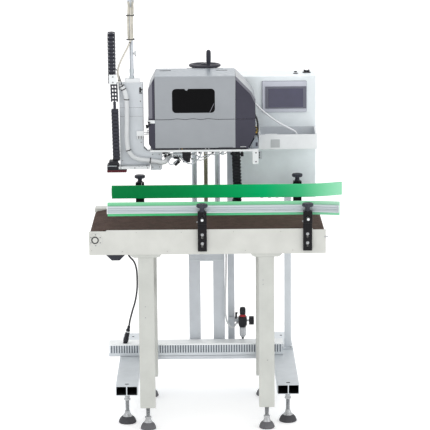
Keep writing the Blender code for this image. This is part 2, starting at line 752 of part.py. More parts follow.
def cabinet_post():
    """The square post under the cabinet's right half, standing on the rail by a foot plate."""
    right = box("cabinet_post_right", (0.3521, 0.672, 0.1800), (0.3821, 0.702, CABINET_LOW[2] - GAP), MAST_GREY)
    join(right, helper_box("post_foot", (0.3300, 0.648, RAIL_TOP + GAP), (0.3900, 0.724, 0.1830)))


# ---- air preparation -----------------------------------------------------------------------------
AIR_X, AIR_Y = 0.1585, 0.640


def air_preparation():
    """Filter regulator on the left cabinet post: body with gauge and bracket, adjusting knob, and bowl."""
    profile = [
        (0, 0.3470),
        (0.0140, 0.3470),
        (0.0140, 0.3370),
        (0.0190, 0.3365),
        (0.0190, 0.3000),
        (0.0150, 0.2890),
        (0, 0.2890),
    ]
    body = turned("filter_regulator_body", profile, BLACK, (AIR_X, AIR_Y, 0), steps=16)
    join(body, helper_rod("gauge_neck", (AIR_X, AIR_Y, 0.3180), (1, 0, 0), 0.032, 0.005, sides=12))
    join(body, helper_rod("gauge", (AIR_X + 0.0290, AIR_Y, 0.3180), (1, 0, 0), 0.023, 0.0200, sides=16))
    join(body, helper_box("filter_bracket", (0.0960, 0.6600, 0.3050), (AIR_X, 0.6717, 0.3300)))
    join(body, helper_box("filter_bracket_arm", (AIR_X - 0.010, 0.6500, 0.3050), (AIR_X + 0.006, 0.6717, 0.3300)))
    knob = [
        (0, 0.3815),
        (0.0115, 0.3805),
        (0.0135, 0.3770),
        (0.0135, 0.3480),
        (0, 0.3480),
    ]
    turned("regulator_knob", knob, BLACK, (AIR_X, AIR_Y, 0), steps=16)
    bowl = [
        (0, 0.2885),
        (0.0135, 0.2885),
        (0.0135, 0.2500),
        (0.0080, 0.2400),
        (0.0030, 0.2360),
        (0.0020, 0.2210),
        (0, 0.2210),
    ]
    turned("filter_bowl", bowl, CLEAR, (AIR_X, AIR_Y, 0), steps=16)


# ---- conveyor ------------------------------------------------------------------------------------
HALF_LENGTH = CONVEYOR_LENGTH / 2
BEAM_BOTTOM = BELT_TOP - BEAM_HEIGHT


def conveyor_beams():
    """The folded side beams. The front one carries the drive roller's flanged bearing."""
    top, bottom = BELT_TOP, BEAM_BOTTOM
    front = [(0, bottom), (0.040, bottom), (0.040, bottom + SHEET), (SHEET, bottom + SHEET), (SHEET, top), (0, top)]
    beam = outline("conveyor_beam_front", front, "YZ", -HALF_LENGTH, HALF_LENGTH, CREAM)
    join(beam, helper_rod("bearing_flange", (-ROLLER_X, -0.0025, ROLLER_Z), (0, 1, 0), 0.004, 0.0265))
    for index in range(2):
        hole = helper_rod(f"front_shaft_hole_{index}", ((2 * index - 1) * ROLLER_X, -0.02, ROLLER_Z), (0, 1, 0), 0.03, 0.0085)
        cut(beam, hole)
    rear = CONVEYOR_DEPTH
    lip, inner = 0.478, 0.500
    folded = [
        (rear, bottom),
        (rear, top),
        (lip, top),
        (lip, top - 0.017),
        (lip + SHEET, top - 0.017),
        (lip + SHEET, top - SHEET),
        (rear - SHEET, top - SHEET),
        (rear - SHEET, bottom + SHEET),
        (inner, bottom + SHEET),
        (inner, bottom),
    ]
    outline("conveyor_beam_rear", folded, "YZ", -HALF_LENGTH, HALF_LENGTH, CREAM)


def belt_loop():
    """The belt's outer path in X and Z: over the bed, round both end rollers and back underneath."""
    radius = ROLLER_R + GAP + BELT_THICK
    right, left = (ROLLER_X, ROLLER_Z), (-ROLLER_X, ROLLER_Z)
    bed = 0.436
    path = [(-bed, BELT_TOP - 0.0005), (bed, BELT_TOP - 0.0005), *arc(right, radius, 80, -90, 10), *arc(left, radius, 270, 100, 10)]
    return path


def conveyor_belt():
    bm = bmesh.new()
    rows = [[bm.verts.new((x, y, z)) for x, z in belt_loop()] for y in (0.006, BELT_REAR - 0.001)]
    count = len(rows[0])
    for i in range(count):
        j = (i + 1) % count
        bm.faces.new((rows[0][i], rows[0][j], rows[1][j], rows[1][i]))
    belt = from_bmesh("conveyor_belt", bm, BELT)
    thick = belt.modifiers.new("thickness", "SOLIDIFY")
    thick.thickness = BELT_THICK
    thick.offset = -1
    thick.use_even_offset = True


def conveyor_inside():
    """The slider bed under the belt, the end rollers on their shafts, and the gearmotor."""
    top = BELT_TOP - 0.0005 - BELT_THICK - GAP
    box("slider_bed", (-0.430, SHEET + GAP, top - 0.010), (0.430, 0.478 - GAP, top), STEEL)
    shaft, rear = 0.0075, CONVEYOR_DEPTH - SHEET - GAP
    for name, x in (("drive_roller", -ROLLER_X), ("tail_roller", ROLLER_X)):
        front = -0.0040
        profile = [
            (0, front),
            (shaft, front),
            (shaft, 0.008),
            (ROLLER_R, 0.008),
            (ROLLER_R, 0.472),
            (shaft, 0.472),
            (shaft, rear),
            (0, rear),
        ]
        profile.reverse()
        turned(name, profile, STEEL, (x, 0, ROLLER_Z), axis=(0, 1, 0))
    motor = rod("gearmotor", (-0.3935, 0.100, 0.7655), (0, 1, 0), 0.240, 0.0438, BLACK, sides=8)
    motor.rotation_euler = (0, math.pi / 8, 0)
    gearbox = helper_box("gearbox", (-0.4320, 0.3300, 0.7300), (-0.3550, 0.500 - GAP, 0.8040))
    join(motor, gearbox)


FEET_Y = {"front": 0.024, "rear": 0.516}
TIE_Z = {"left": (0.500, 0.563), "right": (0.645, 0.686)}


def leg_frames():
    """Each side has two tube legs, a top plate under the beams and a tie, with a levelling foot locked in each leg."""
    for side, x in LEG_X.items():
        half = LEG_WIDTH / 2
        top = BEAM_BOTTOM - GAP
        plate = [(x - 0.066, top), (x + 0.066, top), (x + 0.050, top - 0.014), (x - 0.050, top - 0.014)]
        frame = outline(f"leg_frame_{side}", plate, "XZ", 0.004, CONVEYOR_DEPTH - 0.004, CREAM)
        hollows = []
        for end, y in FEET_Y.items():
            low = Vector((x - half, y - LEG_DEPTH / 2, LEG_BOTTOM))
            high = Vector((x + half, y + LEG_DEPTH / 2, top - 0.004))
            join(frame, helper_box(f"leg_{side}_{end}", low, high))
            wall = Vector((SHEET, SHEET, SHEET))
            roof = Vector((SHEET, SHEET, 4 * SHEET))
            hollows.append(helper_box(f"leg_hollow_{side}_{end}", low + wall, high - roof))
            drain = (x + 0.021, y, LEG_BOTTOM - 0.01)
            hollows.append(helper_rod(f"leg_drain_{side}_{end}", drain, (0, 0, 1), 0.03, 0.004, sides=12))
        join(frame, helper_box(f"leg_tie_{side}", (x - 0.010, 0.040, TIE_Z[side][0]), (x + 0.010, 0.510, TIE_Z[side][1])))
        cut(frame, *hollows)
        for end, y in FEET_Y.items():
            join(frame, levelling_foot(f"conveyor_foot_{side}_{end}", x, y, LEG_BOTTOM + 0.012, FOOT_PAD_R))


# ---- guide rails ---------------------------------------------------------------------------------
GUIDES = {
    # side: (strip's belt face Y, outward direction, bracket Y, rod height, X span, flare start, flare, bracket Xs)
    "front": (0.040, -1, 0.0, 0.9300, (-0.4206, 0.5590), 0.400, 0.024, (-0.0217, 0.4225)),
    "rear": (0.425, 1, CONVEYOR_DEPTH, 0.9540, (-0.4206, 0.6000), 0.400, 0.047, (-0.3000, 0.4050)),
}
BRACKET_THICK, BLOCK_DEPTH, KNOB_R = 0.012, 0.028, 0.023


def flared(span, start, flare, face, outward, near, far):
    """A plan outline that follows the belt, then curves away from it at its infeed end."""
    steps = 6

    def edge(offset):
        bend = [(start + (span[1] - start) * i / steps, flare * (i / steps) ** 2) for i in range(steps + 1)]
        return [(x, face + outward * (out + offset)) for x, out in [(span[0], 0.0), *bend]]

    return edge(near) + edge(far)[::-1]


def guide_rail(side):
    """A green wear strip on an aluminium profile, with the two rods that slide in the brackets."""
    face, outward, mount, rod_z, span, start, flare, brackets = GUIDES[side]
    strip = flared(span, start, flare, face, outward, 0, STRIP_THICK)
    rail = outline(f"guide_rail_{side}", strip, "XY", GUIDE_BOTTOM, GUIDE_BOTTOM + GUIDE_HEIGHT, GREEN)
    profile = flared(span, start, flare, face, outward, STRIP_THICK - 0.001, STRIP_THICK + PROFILE_THICK)
    z = GUIDE_BOTTOM + (GUIDE_HEIGHT - PROFILE_HEIGHT) / 2
    join(rail, outline(f"profile_{side}", profile, "XY", z, z + PROFILE_HEIGHT, STEEL, CUTTERS))
    back = face + outward * (STRIP_THICK + PROFILE_THICK)
    for index, x in enumerate(brackets):
        inner = back - outward * 0.008
        low, high = sorted((inner, back + outward * 0.002))
        lug = helper_box(f"lug_{side}_{index}", (x - 0.012, low, rod_z - 0.010), (x + 0.012, high, z + 0.020))
        outer = mount + outward * (BRACKET_THICK + BLOCK_DEPTH + 0.022)
        length = abs(outer - inner) - 0.001
        begin = (x, inner + outward * 0.001, rod_z)
        join(rail, lug, helper_rod(f"guide_rod_{side}_{index}", begin, (0, outward, 0), length, GUIDE_ROD_R, sides=16))


def guide_brackets(side):
    """A slotted upright bolted to the beam, with a clamp block for the rod and a knob that locks it."""
    face, outward, mount, rod_z, span, start, flare, brackets = GUIDES[side]
    near = mount + outward * GAP
    for end, x in zip(("left", "right"), brackets):
        half = BRACKET_WIDTH / 2
        block_top = rod_z + 0.0285
        low, high = sorted((near, near + outward * BRACKET_THICK))
        bracket = box(f"guide_bracket_{side}_{end}", (x - half, low, 0.786), (x + half, high, rod_z - 0.010), BLACK)
        low, high = sorted((near - outward * 0.002 if rod_z > BELT_TOP + 0.07 else near, near + outward * BLOCK_DEPTH))
        clear_of_beam = max(rod_z - 0.024, BELT_TOP + 0.002)
        join(bracket, helper_box(f"clamp_{side}_{end}", (x - half, low, clear_of_beam), (x + half, high, block_top)))
        for z in (0.800, 0.838):
            slot = helper_box(f"slot_{side}_{end}", (x - 0.0035, mount - 0.05, z), (x + 0.0035, mount + 0.05, z + 0.022))
            cut(bracket, slot)
        start_y = mount - outward * 0.02
        hole = (x, start_y, rod_z)
        cut(bracket, helper_rod(f"clamp_bore_{side}_{end}", hole, (0, outward, 0), 0.1, GUIDE_ROD_R + 0.0006, sides=16))
        knob = [
            (0, block_top + 0.0335),
            (KNOB_R - 0.003, block_top + 0.0335),
            (KNOB_R, block_top + 0.0300),
            (KNOB_R, block_top + 0.0225),
            (KNOB_R - 0.003, block_top + 0.0195),
            (0.0110, block_top + 0.0160),
            (0.0090, block_top + GAP),
            (0, block_top + GAP),
        ]
        turned(f"clamp_knob_{side}_{end}", knob, BLACK, (x, mount + outward * 0.016, 0), steps=16)


# ---- assembly ------------------------------------------------------------------------------------
def build():
    stand()
    mast()
    lift_carriage()
    printer_plate()
    printer_body()
    printer_lid()
    printer_inside()
    applicator_column()
    air_cylinder()
    tamp_head()
    applicator_chain()
    applicator_cords()
    valve_block()
    lift_chain()
    frame_cords()
    cabinet()
    cabinet_post()
    air_preparation()
    conveyor_beams()
    conveyor_belt()
    conveyor_inside()
    leg_frames()
    for side in GUIDES:
        guide_rail(side)
        guide_brackets(side)


build()
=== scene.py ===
import math

import bmesh
import bpy
from mathutils import Matrix, Vector


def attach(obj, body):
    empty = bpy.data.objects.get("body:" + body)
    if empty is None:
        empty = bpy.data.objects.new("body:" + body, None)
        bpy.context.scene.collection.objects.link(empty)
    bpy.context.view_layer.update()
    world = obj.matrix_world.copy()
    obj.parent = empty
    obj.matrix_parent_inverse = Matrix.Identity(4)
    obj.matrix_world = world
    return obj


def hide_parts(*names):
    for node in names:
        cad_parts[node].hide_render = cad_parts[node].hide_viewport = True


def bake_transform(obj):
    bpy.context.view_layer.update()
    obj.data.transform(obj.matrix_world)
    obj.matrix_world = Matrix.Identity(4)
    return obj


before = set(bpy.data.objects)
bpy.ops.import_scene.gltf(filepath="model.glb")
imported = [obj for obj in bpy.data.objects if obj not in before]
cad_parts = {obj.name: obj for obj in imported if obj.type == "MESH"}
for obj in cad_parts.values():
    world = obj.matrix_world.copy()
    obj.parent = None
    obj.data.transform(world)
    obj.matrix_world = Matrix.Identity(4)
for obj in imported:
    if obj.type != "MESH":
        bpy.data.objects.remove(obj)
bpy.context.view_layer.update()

# Lengths are in metres in the machine's own frame: the origin is on the floor under the middle of the
# conveyor's front face, +X along the belt, +Y away from the operator. AT carries them to the CAD's frame.
AT = Vector((-0.0498, -0.454, 0.0))
GAP = 0.0003

def put(name, data):
    """A new object with that data, in the scene."""
    obj = bpy.data.objects.new(name, data)
    bpy.context.scene.collection.objects.link(obj)
    return obj


# ---- camera -------------------------------------------------------------------------------------
EYE = (-0.053, -8.6009, 2.5704)
PITCH, YAW, ROLL = 11.3127, 0.2527, 0.4833
LENS_MM, SENSOR_MM = 165.26, 36.0


def make_camera():
    p, y, r = (math.radians(a) for a in (PITCH, YAW, ROLL))
    level = Vector((math.cos(y), -math.sin(y), 0))
    ahead = Vector((math.sin(y) * math.cos(p), math.cos(y) * math.cos(p), -math.sin(p)))
    above = Vector((math.sin(y) * math.sin(p), math.cos(y) * math.sin(p), math.cos(p)))
    right = math.cos(r) * level - math.sin(r) * above
    up = math.sin(r) * level + math.cos(r) * above
    data = bpy.data.cameras.new("camera")
    data.lens, data.sensor_width = LENS_MM, SENSOR_MM
    data.clip_start, data.clip_end = 0.1, 200.0
    turn = Matrix((right, up, -ahead)).transposed().to_4x4()
    cam = put("camera", data)
    cam.matrix_world = Matrix.Translation(EYE) @ turn
    bpy.context.scene.camera = cam


make_camera()


# ---- materials ----------------------------------------------------------------------------------
def srgb(r, g, b):
    """Linear values of a colour given as 0 to 255."""
    return tuple(c / 3294.6 if c <= 10 else ((c / 255 + 0.055) / 1.055) ** 2.4 for c in (r, g, b))


def add_node(tree, kind, **values):
    """A shader node with its sockets or settings filled in."""
    new = tree.nodes.new(kind)
    for key, value in values.items():
        if key in new.inputs:
            new.inputs[key].default_value = value
        else:
            setattr(new, key, value)
    return new


def finish(
    name, rgb, rough, metal=0.0, grain=900.0, relief=0.25, depth=0.0002, mottle=0.05, patch=9.0,
    wear=0.35, worn=None, stretch=(1, 1, 1), coat=0.0, glass=0.0, specks=0.12, swing=0.08, shine=0.5,
):
    """A finish with grain, patches of colour, specks, uneven gloss and rubbed edges."""
    made = bpy.data.materials.new(name)
    made.use_nodes = True
    tree = made.node_tree
    shader = tree.nodes["Principled BSDF"]
    base = srgb(*rgb)
    worn = srgb(*worn) if worn else tuple(min(1.0, c * 1.25 + 0.06) for c in base)

    def node(kind, **values):
        return add_node(tree, kind, **values)

    def link(a, b):
        tree.links.new(a, b)

    where = node("ShaderNodeTexCoord")
    spread = node("ShaderNodeMapping", Scale=stretch)
    link(where.outputs["Object"], spread.inputs["Vector"])

    def noise(scale, detail):
        new = node("ShaderNodeTexNoise", Scale=scale, Detail=detail, Roughness=0.55)
        link(spread.outputs["Vector"], new.inputs["Vector"])
        return new.outputs["Fac"]

    def ranged(source, low, high, to_low, to_high):
        new = node("ShaderNodeMapRange")
        for key, value in zip(("From Min", "From Max", "To Min", "To Max"), (low, high, to_low, to_high)):
            new.inputs[key].default_value = value
        link(source, new.inputs["Value"])
        return new.outputs["Result"]

    def mixed(factor, a, b):
        new = node("ShaderNodeMix", data_type="RGBA")
        link(factor, new.inputs["Factor"])
        for socket, value in (("A", a), ("B", b)):
            target = [s for s in new.inputs if s.name == socket and s.type == "RGBA"][0]
            if isinstance(value, tuple):
                target.default_value = (*value, 1.0)
            else:
                link(value, target)
        return [s for s in new.outputs if s.type == "RGBA"][0]

    def times(a, b):
        new = node("ShaderNodeMath", operation="MULTIPLY")
        link(a, new.inputs[0])
        if isinstance(b, float):
            new.inputs[1].default_value = b
        else:
            link(b, new.inputs[1])
        return new.outputs[0]

    fine, broad, fleck = noise(grain, 3.0), noise(patch, 4.0), noise(170.0, 2.0)
    dark = tuple(c * (1 - mottle) for c in base)
    light = tuple(min(1.0, c * (1 + mottle)) for c in base)
    colour = mixed(ranged(broad, 0.35, 0.65, 0.0, 1.0), dark, light)
    soiled = tuple(c * 0.72 for c in base)
    colour = mixed(times(ranged(fleck, 0.64, 0.74, 0.0, 1.0), specks), colour, soiled)
    rounded = node("ShaderNodeBevel", samples=4, Radius=0.0012)
    shape = node("ShaderNodeNewGeometry")
    turn = node("ShaderNodeVectorMath", operation="DOT_PRODUCT")
    link(rounded.outputs["Normal"], turn.inputs[0])
    link(shape.outputs["Normal"], turn.inputs[1])
    edge = times(ranged(turn.outputs["Value"], 0.985, 0.86, 0.0, 1.0),
        ranged(noise(60.0, 3.0), 0.38, 0.62, 0.25, 1.0))
    edge = times(edge, float(wear))
    colour = mixed(edge, colour, worn)
    link(colour, shader.inputs["Base Color"])
    gloss = ranged(noise(patch * 5, 4.0), 0.3, 0.7, max(0.02, rough - swing), min(1.0, rough + swing))
    link(gloss, shader.inputs["Roughness"])
    bump = node("ShaderNodeBump", Strength=relief, Distance=depth)
    link(fine, bump.inputs["Height"])
    link(bump.outputs["Normal"], shader.inputs["Normal"])
    shader.inputs["Metallic"].default_value = metal
    shader.inputs["Specular IOR Level"].default_value = shine
    shader.inputs["Coat Weight"].default_value = coat
    shader.inputs["Transmission Weight"].default_value = glass
    return made


STRIP = {"grain": 420, "relief": 0.15, "stretch": (0.08, 1, 1)}
CREAM = finish("cream_paint", (198, 199, 194), 0.42)
LEG = finish("leg_paint", (189, 191, 186), 0.42)
GREY = finish("case_paint", (202, 207, 212), 0.42)
CASE = finish("cabinet_paint", (230, 237, 240), 0.42)
# A darker copy of the cabinet paint for its sides, bottom and rear door: painted shade.
CASE_SHADED = finish("cabinet_paint_painted_shade", (211, 217, 221), 0.42)
PALE = finish("pale_paint", (210, 216, 221), 0.4)
MAST = finish("mast_paint", (203, 208, 214), 0.42)
WHITE = finish("white_paint", (228, 231, 233), 0.38)
LAVENDER = finish("bezel_plastic", (194, 197, 208), 0.45, grain=1600)
ALUMINIUM = finish("aluminium", (190, 198, 202), 0.34, 0.6, grain=260, stretch=(0.05, 1, 1), relief=0.15,
    wear=0.2)
SILVER = finish("printer_silver_paint", (152, 156, 161), 0.36, 0.25, grain=1500, relief=0.12, mottle=0.03)
SLATE = finish("printer_slate_paint", (58, 57, 70), 0.5, grain=1400, relief=0.3, worn=(112, 112, 122),
    shine=0.3)
SLATE_LIGHT = finish("printer_trim_paint", (112, 112, 122), 0.44, grain=1400, relief=0.25)
BLACK = finish("black_moulding", (33, 33, 39), 0.5, grain=1300, relief=0.4, worn=(84, 84, 90), wear=0.5,
    shine=0.3)
SATIN_BLACK = finish("black_paint", (15, 14, 18), 0.42, shine=0.2, relief=0.25, worn=(110, 110, 116), wear=0.6)
MOULD = finish("slate_moulding", (50, 51, 61), 0.5, grain=1300, relief=0.4, worn=(100, 101, 112), wear=0.5,
    shine=0.3)
# A darker copy of the printer silver for the hood's upward faces: painted shade on the roof.
ROOF_SHADE = finish("printer_silver_painted_shade_roof", (147, 155, 163), 0.36, 0.25, grain=1500, relief=0.12, mottle=0.03)
GUSSET = finish("gusset_paint", (142, 151, 160), 0.42)
# Grey-blue for a backing strip inside the duct: painted shade seen through the slots.
DUCT_SHADE = finish("duct_painted_shade", (98, 106, 122), 0.5, grain=1500)
LID_WHITE = finish("duct_lid_pvc", (247, 250, 252), 0.42, grain=1500)
# Near-black for bores, holes, slots, sockets and gaps between parts: painted shade. The same finish is also the
# gauge's dark print and the column's dark seams.
DARK_SHADE_AND_PRINT = finish("dark_painted_shade_and_print", (26, 26, 30), 0.7, wear=0.1)
SMOKE = finish("smoked_pane", (5, 5, 7), 0.14, grain=30, relief=0.02, mottle=0.02, wear=0.0, glass=0.12,
    specks=0.0, swing=0.02, shine=0.03)
SCREEN = finish("display_glass", (50, 49, 78), 0.1, grain=20, relief=0.02, mottle=0.12, patch=14, wear=0.0,
    specks=0.0, coat=0.6, swing=0.03)
SCREEN_FRAME = finish("display_frame", (100, 101, 115), 0.4, grain=1500, wear=0.2)
GREEN = finish("green_strip", (4, 150, 82), 0.34, **STRIP, mottle=0.07, worn=(120, 214, 160), wear=0.8,
    shine=0.15)
ZINC = finish("zinc_plate", (176, 178, 180), 0.3, 0.9, grain=500, relief=0.15, mottle=0.1, patch=60, wear=0.2)
CHROME = finish("ground_rod", (192, 197, 203), 0.38, 0.85, grain=900, relief=0.06, stretch=(1, 1, 0.15),
    wear=0.1, mottle=0.03)
BRONZE = finish("screw_bronze", (138, 134, 115), 0.34, 0.7, grain=500, relief=0.2, mottle=0.16, patch=50,
    wear=0.5)
BRASS = finish("brass_fitting", (176, 142, 74), 0.3, 0.85, grain=600, relief=0.15)
RUBBER = finish("foot_rubber", (66, 66, 70), 0.75, grain=1100, relief=0.5, worn=(118, 118, 120), wear=0.4,
    mottle=0.12)
PAD_GREY = finish("foot_pad", (94, 94, 98), 0.7, grain=1100, relief=0.5, mottle=0.12)
MAROON = finish("maroon_sponge", (84, 26, 36), 0.85, grain=520, relief=0.8, depth=0.0006, mottle=0.16, patch=90,
    wear=0.1)
RED = finish("red_ring", (176, 28, 40), 0.4, grain=1400)
YELLOW = finish("yellow_sleeve", (196, 168, 60), 0.5, grain=1200)
HOSE = finish("white_hose_jacket", (206, 209, 211), 0.44, grain=700, relief=0.2, mottle=0.04, patch=24)
WHITE_JACKET = finish("white_cable_jacket", (240, 242, 245), 0.4, grain=900, relief=0.15, mottle=0.03)
CABLE = finish("cable_jacket", (38, 38, 42), 0.5, grain=1200, relief=0.3)
CREAM_CABLE = finish("cream_jacket", (206, 202, 192), 0.5, grain=1200, relief=0.2)
BUNDLE = finish("bundle_jacket", (184, 181, 170), 0.6, grain=420, relief=0.5, mottle=0.2, patch=60)
CLEAR = finish("clear_tube", (216, 220, 226), 0.14, grain=400, relief=0.05, glass=0.55, wear=0.0, specks=0.0)
BOWL = finish("bowl_clear", (205, 208, 212), 0.12, grain=200, relief=0.05, glass=0.45, wear=0.0, specks=0.0)
PAPER = finish("label_paper", (226, 224, 216), 0.7, grain=260, relief=0.3, stretch=(1, 8, 1), wear=0.1)
STEEL = finish("bare_steel", (150, 152, 156), 0.36, 0.85, grain=320, relief=0.2, stretch=(0.08, 1, 1),
    mottle=0.08)


def belt_finish():
    """Woven belt cover: fine crossed threads, plum brown, mottled."""
    made = finish("belt_cover", (78, 62, 56), 0.8, shine=0.12, grain=300, relief=0.5, depth=0.0004, mottle=0.16,
        patch=26, wear=0.2, specks=0.5)
    tree = made.node_tree
    where = tree.nodes.new("ShaderNodeTexCoord")
    height = None
    for direction in ("X", "Y"):
        wave = add_node(tree, "ShaderNodeTexWave", bands_direction=direction, Scale=170.0, Distortion=0.4)
        tree.links.new(where.outputs["Object"], wave.inputs["Vector"])
        if height is None:
            height = wave.outputs["Fac"]
            continue
        both = add_node(tree, "ShaderNodeMath", operation="MULTIPLY")
        tree.links.new(height, both.inputs[0])
        tree.links.new(wave.outputs["Fac"], both.inputs[1])
        height = both.outputs[0]
    shader = tree.nodes["Principled BSDF"]
    grain = shader.inputs["Normal"].links[0].from_node
    weave = add_node(tree, "ShaderNodeBump", Strength=0.5, Distance=0.0004)
    tree.links.new(height, weave.inputs["Height"])
    tree.links.new(grain.outputs["Normal"], weave.inputs["Normal"])
    tree.links.new(weave.outputs["Normal"], shader.inputs["Normal"])
    return made


BELT = belt_finish()


def painted_sheen_along_x(made, stops):
    """Changes the colour along X under the finish's own grain, by (x in the machine's frame, colour) stops: a
    painted sheen that lightens towards one end.
    """
    tree = made.node_tree
    shader = tree.nodes["Principled BSDF"]
    grain = shader.inputs["Base Color"].links[0].from_socket
    where = tree.nodes.new("ShaderNodeTexCoord")
    parts = tree.nodes.new("ShaderNodeSeparateXYZ")
    span = tree.nodes.new("ShaderNodeMapRange")
    low, high = stops[0][0] + AT.x, stops[-1][0] + AT.x
    span.inputs["From Min"].default_value, span.inputs["From Max"].default_value = low, high
    ramp = tree.nodes.new("ShaderNodeValToRGB")
    while len(ramp.color_ramp.elements) < len(stops):
        ramp.color_ramp.elements.new(0.5)
    for element, (x, rgb) in zip(ramp.color_ramp.elements, stops):
        element.position = (x + AT.x - low) / (high - low)
        element.color = (*srgb(*rgb), 1.0)
    both = add_node(tree, "ShaderNodeMix", data_type="RGBA", Factor=0.22)
    first, second = [i for i in both.inputs if i.type == "RGBA"][:2]
    tree.links.new(where.outputs["Object"], parts.inputs["Vector"])
    tree.links.new(parts.outputs["X"], span.inputs["Value"])
    tree.links.new(span.outputs["Result"], ramp.inputs["Fac"])
    tree.links.new(ramp.outputs["Color"], first)
    tree.links.new(grain, second)
    tree.links.new([o for o in both.outputs if o.type == "RGBA"][0], shader.inputs["Base Color"])
    return made


# The green lightens towards the flared right end: painted reflection.
painted_sheen_along_x(GREEN, ((-0.42, (0, 140, 72)), (-0.1, (0, 170, 90)), (0.08, (0, 200, 112)), (0.26, (0, 214, 132)),
    (0.42, (84, 214, 150)), (0.6, (166, 228, 196))))
# Paler green for the front strip's outer, top and bottom faces: painted highlight.
GREEN_PAINTED_HIGHLIGHT = painted_sheen_along_x(
    finish("green_strip_painted_highlight", (128, 204, 156), 0.4, **STRIP, mottle=0.06),
    ((-0.42, (128, 210, 160)), (0.1, (112, 202, 146)), (0.4, (140, 212, 168)), (0.6, (186, 226, 204))))
# Paler green for the front strip's low outer and under faces: painted sheen.
GREEN_FOOT_PAINTED_SHEEN = painted_sheen_along_x(finish("green_strip_foot_painted_sheen", (90, 190, 130), 0.4, **STRIP, mottle=0.06),
    ((-0.42, (96, 206, 140)), (-0.22, (34, 186, 106)), (0.05, (56, 188, 124)), (0.35, (104, 204, 152)),
    (0.6, (150, 218, 180))))
TRIM = finish("plate_grey", (182, 186, 188), 0.45)


# ---- shapes -------------------------------------------------------------------------------------
UP, DOWN, AWAY, TOWARD, ALONG = (0, 0, 1), (0, 0, -1), (0, 1, 0), (0, -1, 0), (1, 0, 0)


def turn_to(axis):
    return Vector(UP).rotation_difference(Vector(axis)).to_matrix().to_4x4()


SHARP_EDGE, SHARP_FACE = math.radians(25), math.radians(38)


def soften(bm, width, pick=None, segments=2):
    """Rounds the edges where two faces meet at more than SHARP_EDGE."""
    if width <= 0:
        return
    chosen = [
        e for e in bm.edges
        if len(e.link_faces) == 2 and e.calc_face_angle(0) > SHARP_EDGE and (pick is None or pick(e))
    ]
    bmesh.ops.bevel(bm, geom=chosen, offset=width, segments=segments, profile=0.5, affect="EDGES",
        clamp_overlap=True)


def smooth_route(route, spacing):
    """Points about `spacing` apart on a Catmull-Rom curve through the route."""
    knots = [Vector(p) for p in route]
    knots = [2 * knots[0] - knots[1], *knots, 2 * knots[-1] - knots[-2]]
    points = []
    for a, b, c, d in zip(knots, knots[1:], knots[2:], knots[3:]):
        count = max(1, round((c - b).length / spacing))
        for i in range(count):
            t = i / count
            points.append(
                0.5 * (2 * b + (c - a) * t + (2 * a - 5 * b + 4 * c - d) * t**2
                       + (3 * b - a - 3 * c + d) * t**3)
            )
    return [*points, knots[-2]]


def arc(centre, radius, start, end, count):
    angles = [math.radians(start + (end - start) * i / count) for i in range(count + 1)]
    return [(centre[0] + radius * math.cos(a), centre[1] + radius * math.sin(a)) for a in angles]


def rounded(low, high, radius, count=5):
    """A rectangle with round corners, as (u, v) points."""
    (u0, v0), (u1, v1) = low, high
    corners = ((u1 - radius, v1 - radius, 0), (u0 + radius, v1 - radius, 90), (u0 + radius, v0 + radius, 180),
        (u1 - radius, v0 + radius, 270))
    return [p for u, v, a in corners for p in arc((u, v), radius, a, a + 90, count)]


def around(count, radius, start=0.0):
    """(angle, u, v) at equal steps round a circle, from a start in degrees."""
    for i in range(count):
        a = math.radians(start) + math.tau * i / count
        yield a, radius * math.cos(a), radius * math.sin(a)


def skin(bm, rings, closed=False):
    """Joins each ring of vertices to the next. The two ends are capped, or joined to each other."""
    for a, b in zip(rings, rings[1:] + (rings[:1] if closed else [])):
        for i in range(len(a)):
            j = (i + 1) % len(a)
            bm.faces.new((a[i], a[j], b[j], b[i]))
    if not closed:
        bm.faces.new(rings[0])
        bm.faces.new(rings[-1])


def band(shape, plane, outer, inner, start, end, mat):
    """A closed frame between two outlines of as many points, from one level to another."""
    bm = bmesh.new()
    levels = ((outer, start), (outer, end), (inner, end), (inner, start))
    rows = [[bm.verts.new(PLANES[plane](u, v, w)) for u, v in line] for line, w in levels]
    skin(bm, rows, closed=True)
    shape.take(bm, mat)


PLANES = {
    "XY": lambda u, v, w: (u, v, w),
    "XZ": lambda u, v, w: (u, w, v),
    "YZ": lambda u, v, w: (w, u, v),
}


def opening(low, high, radius, count, plane, start, end, mat=1):
    """A cutting tool with round corners."""
    return Shape().prism(rounded(low, high, radius, count), plane, start, end, mat, 0)


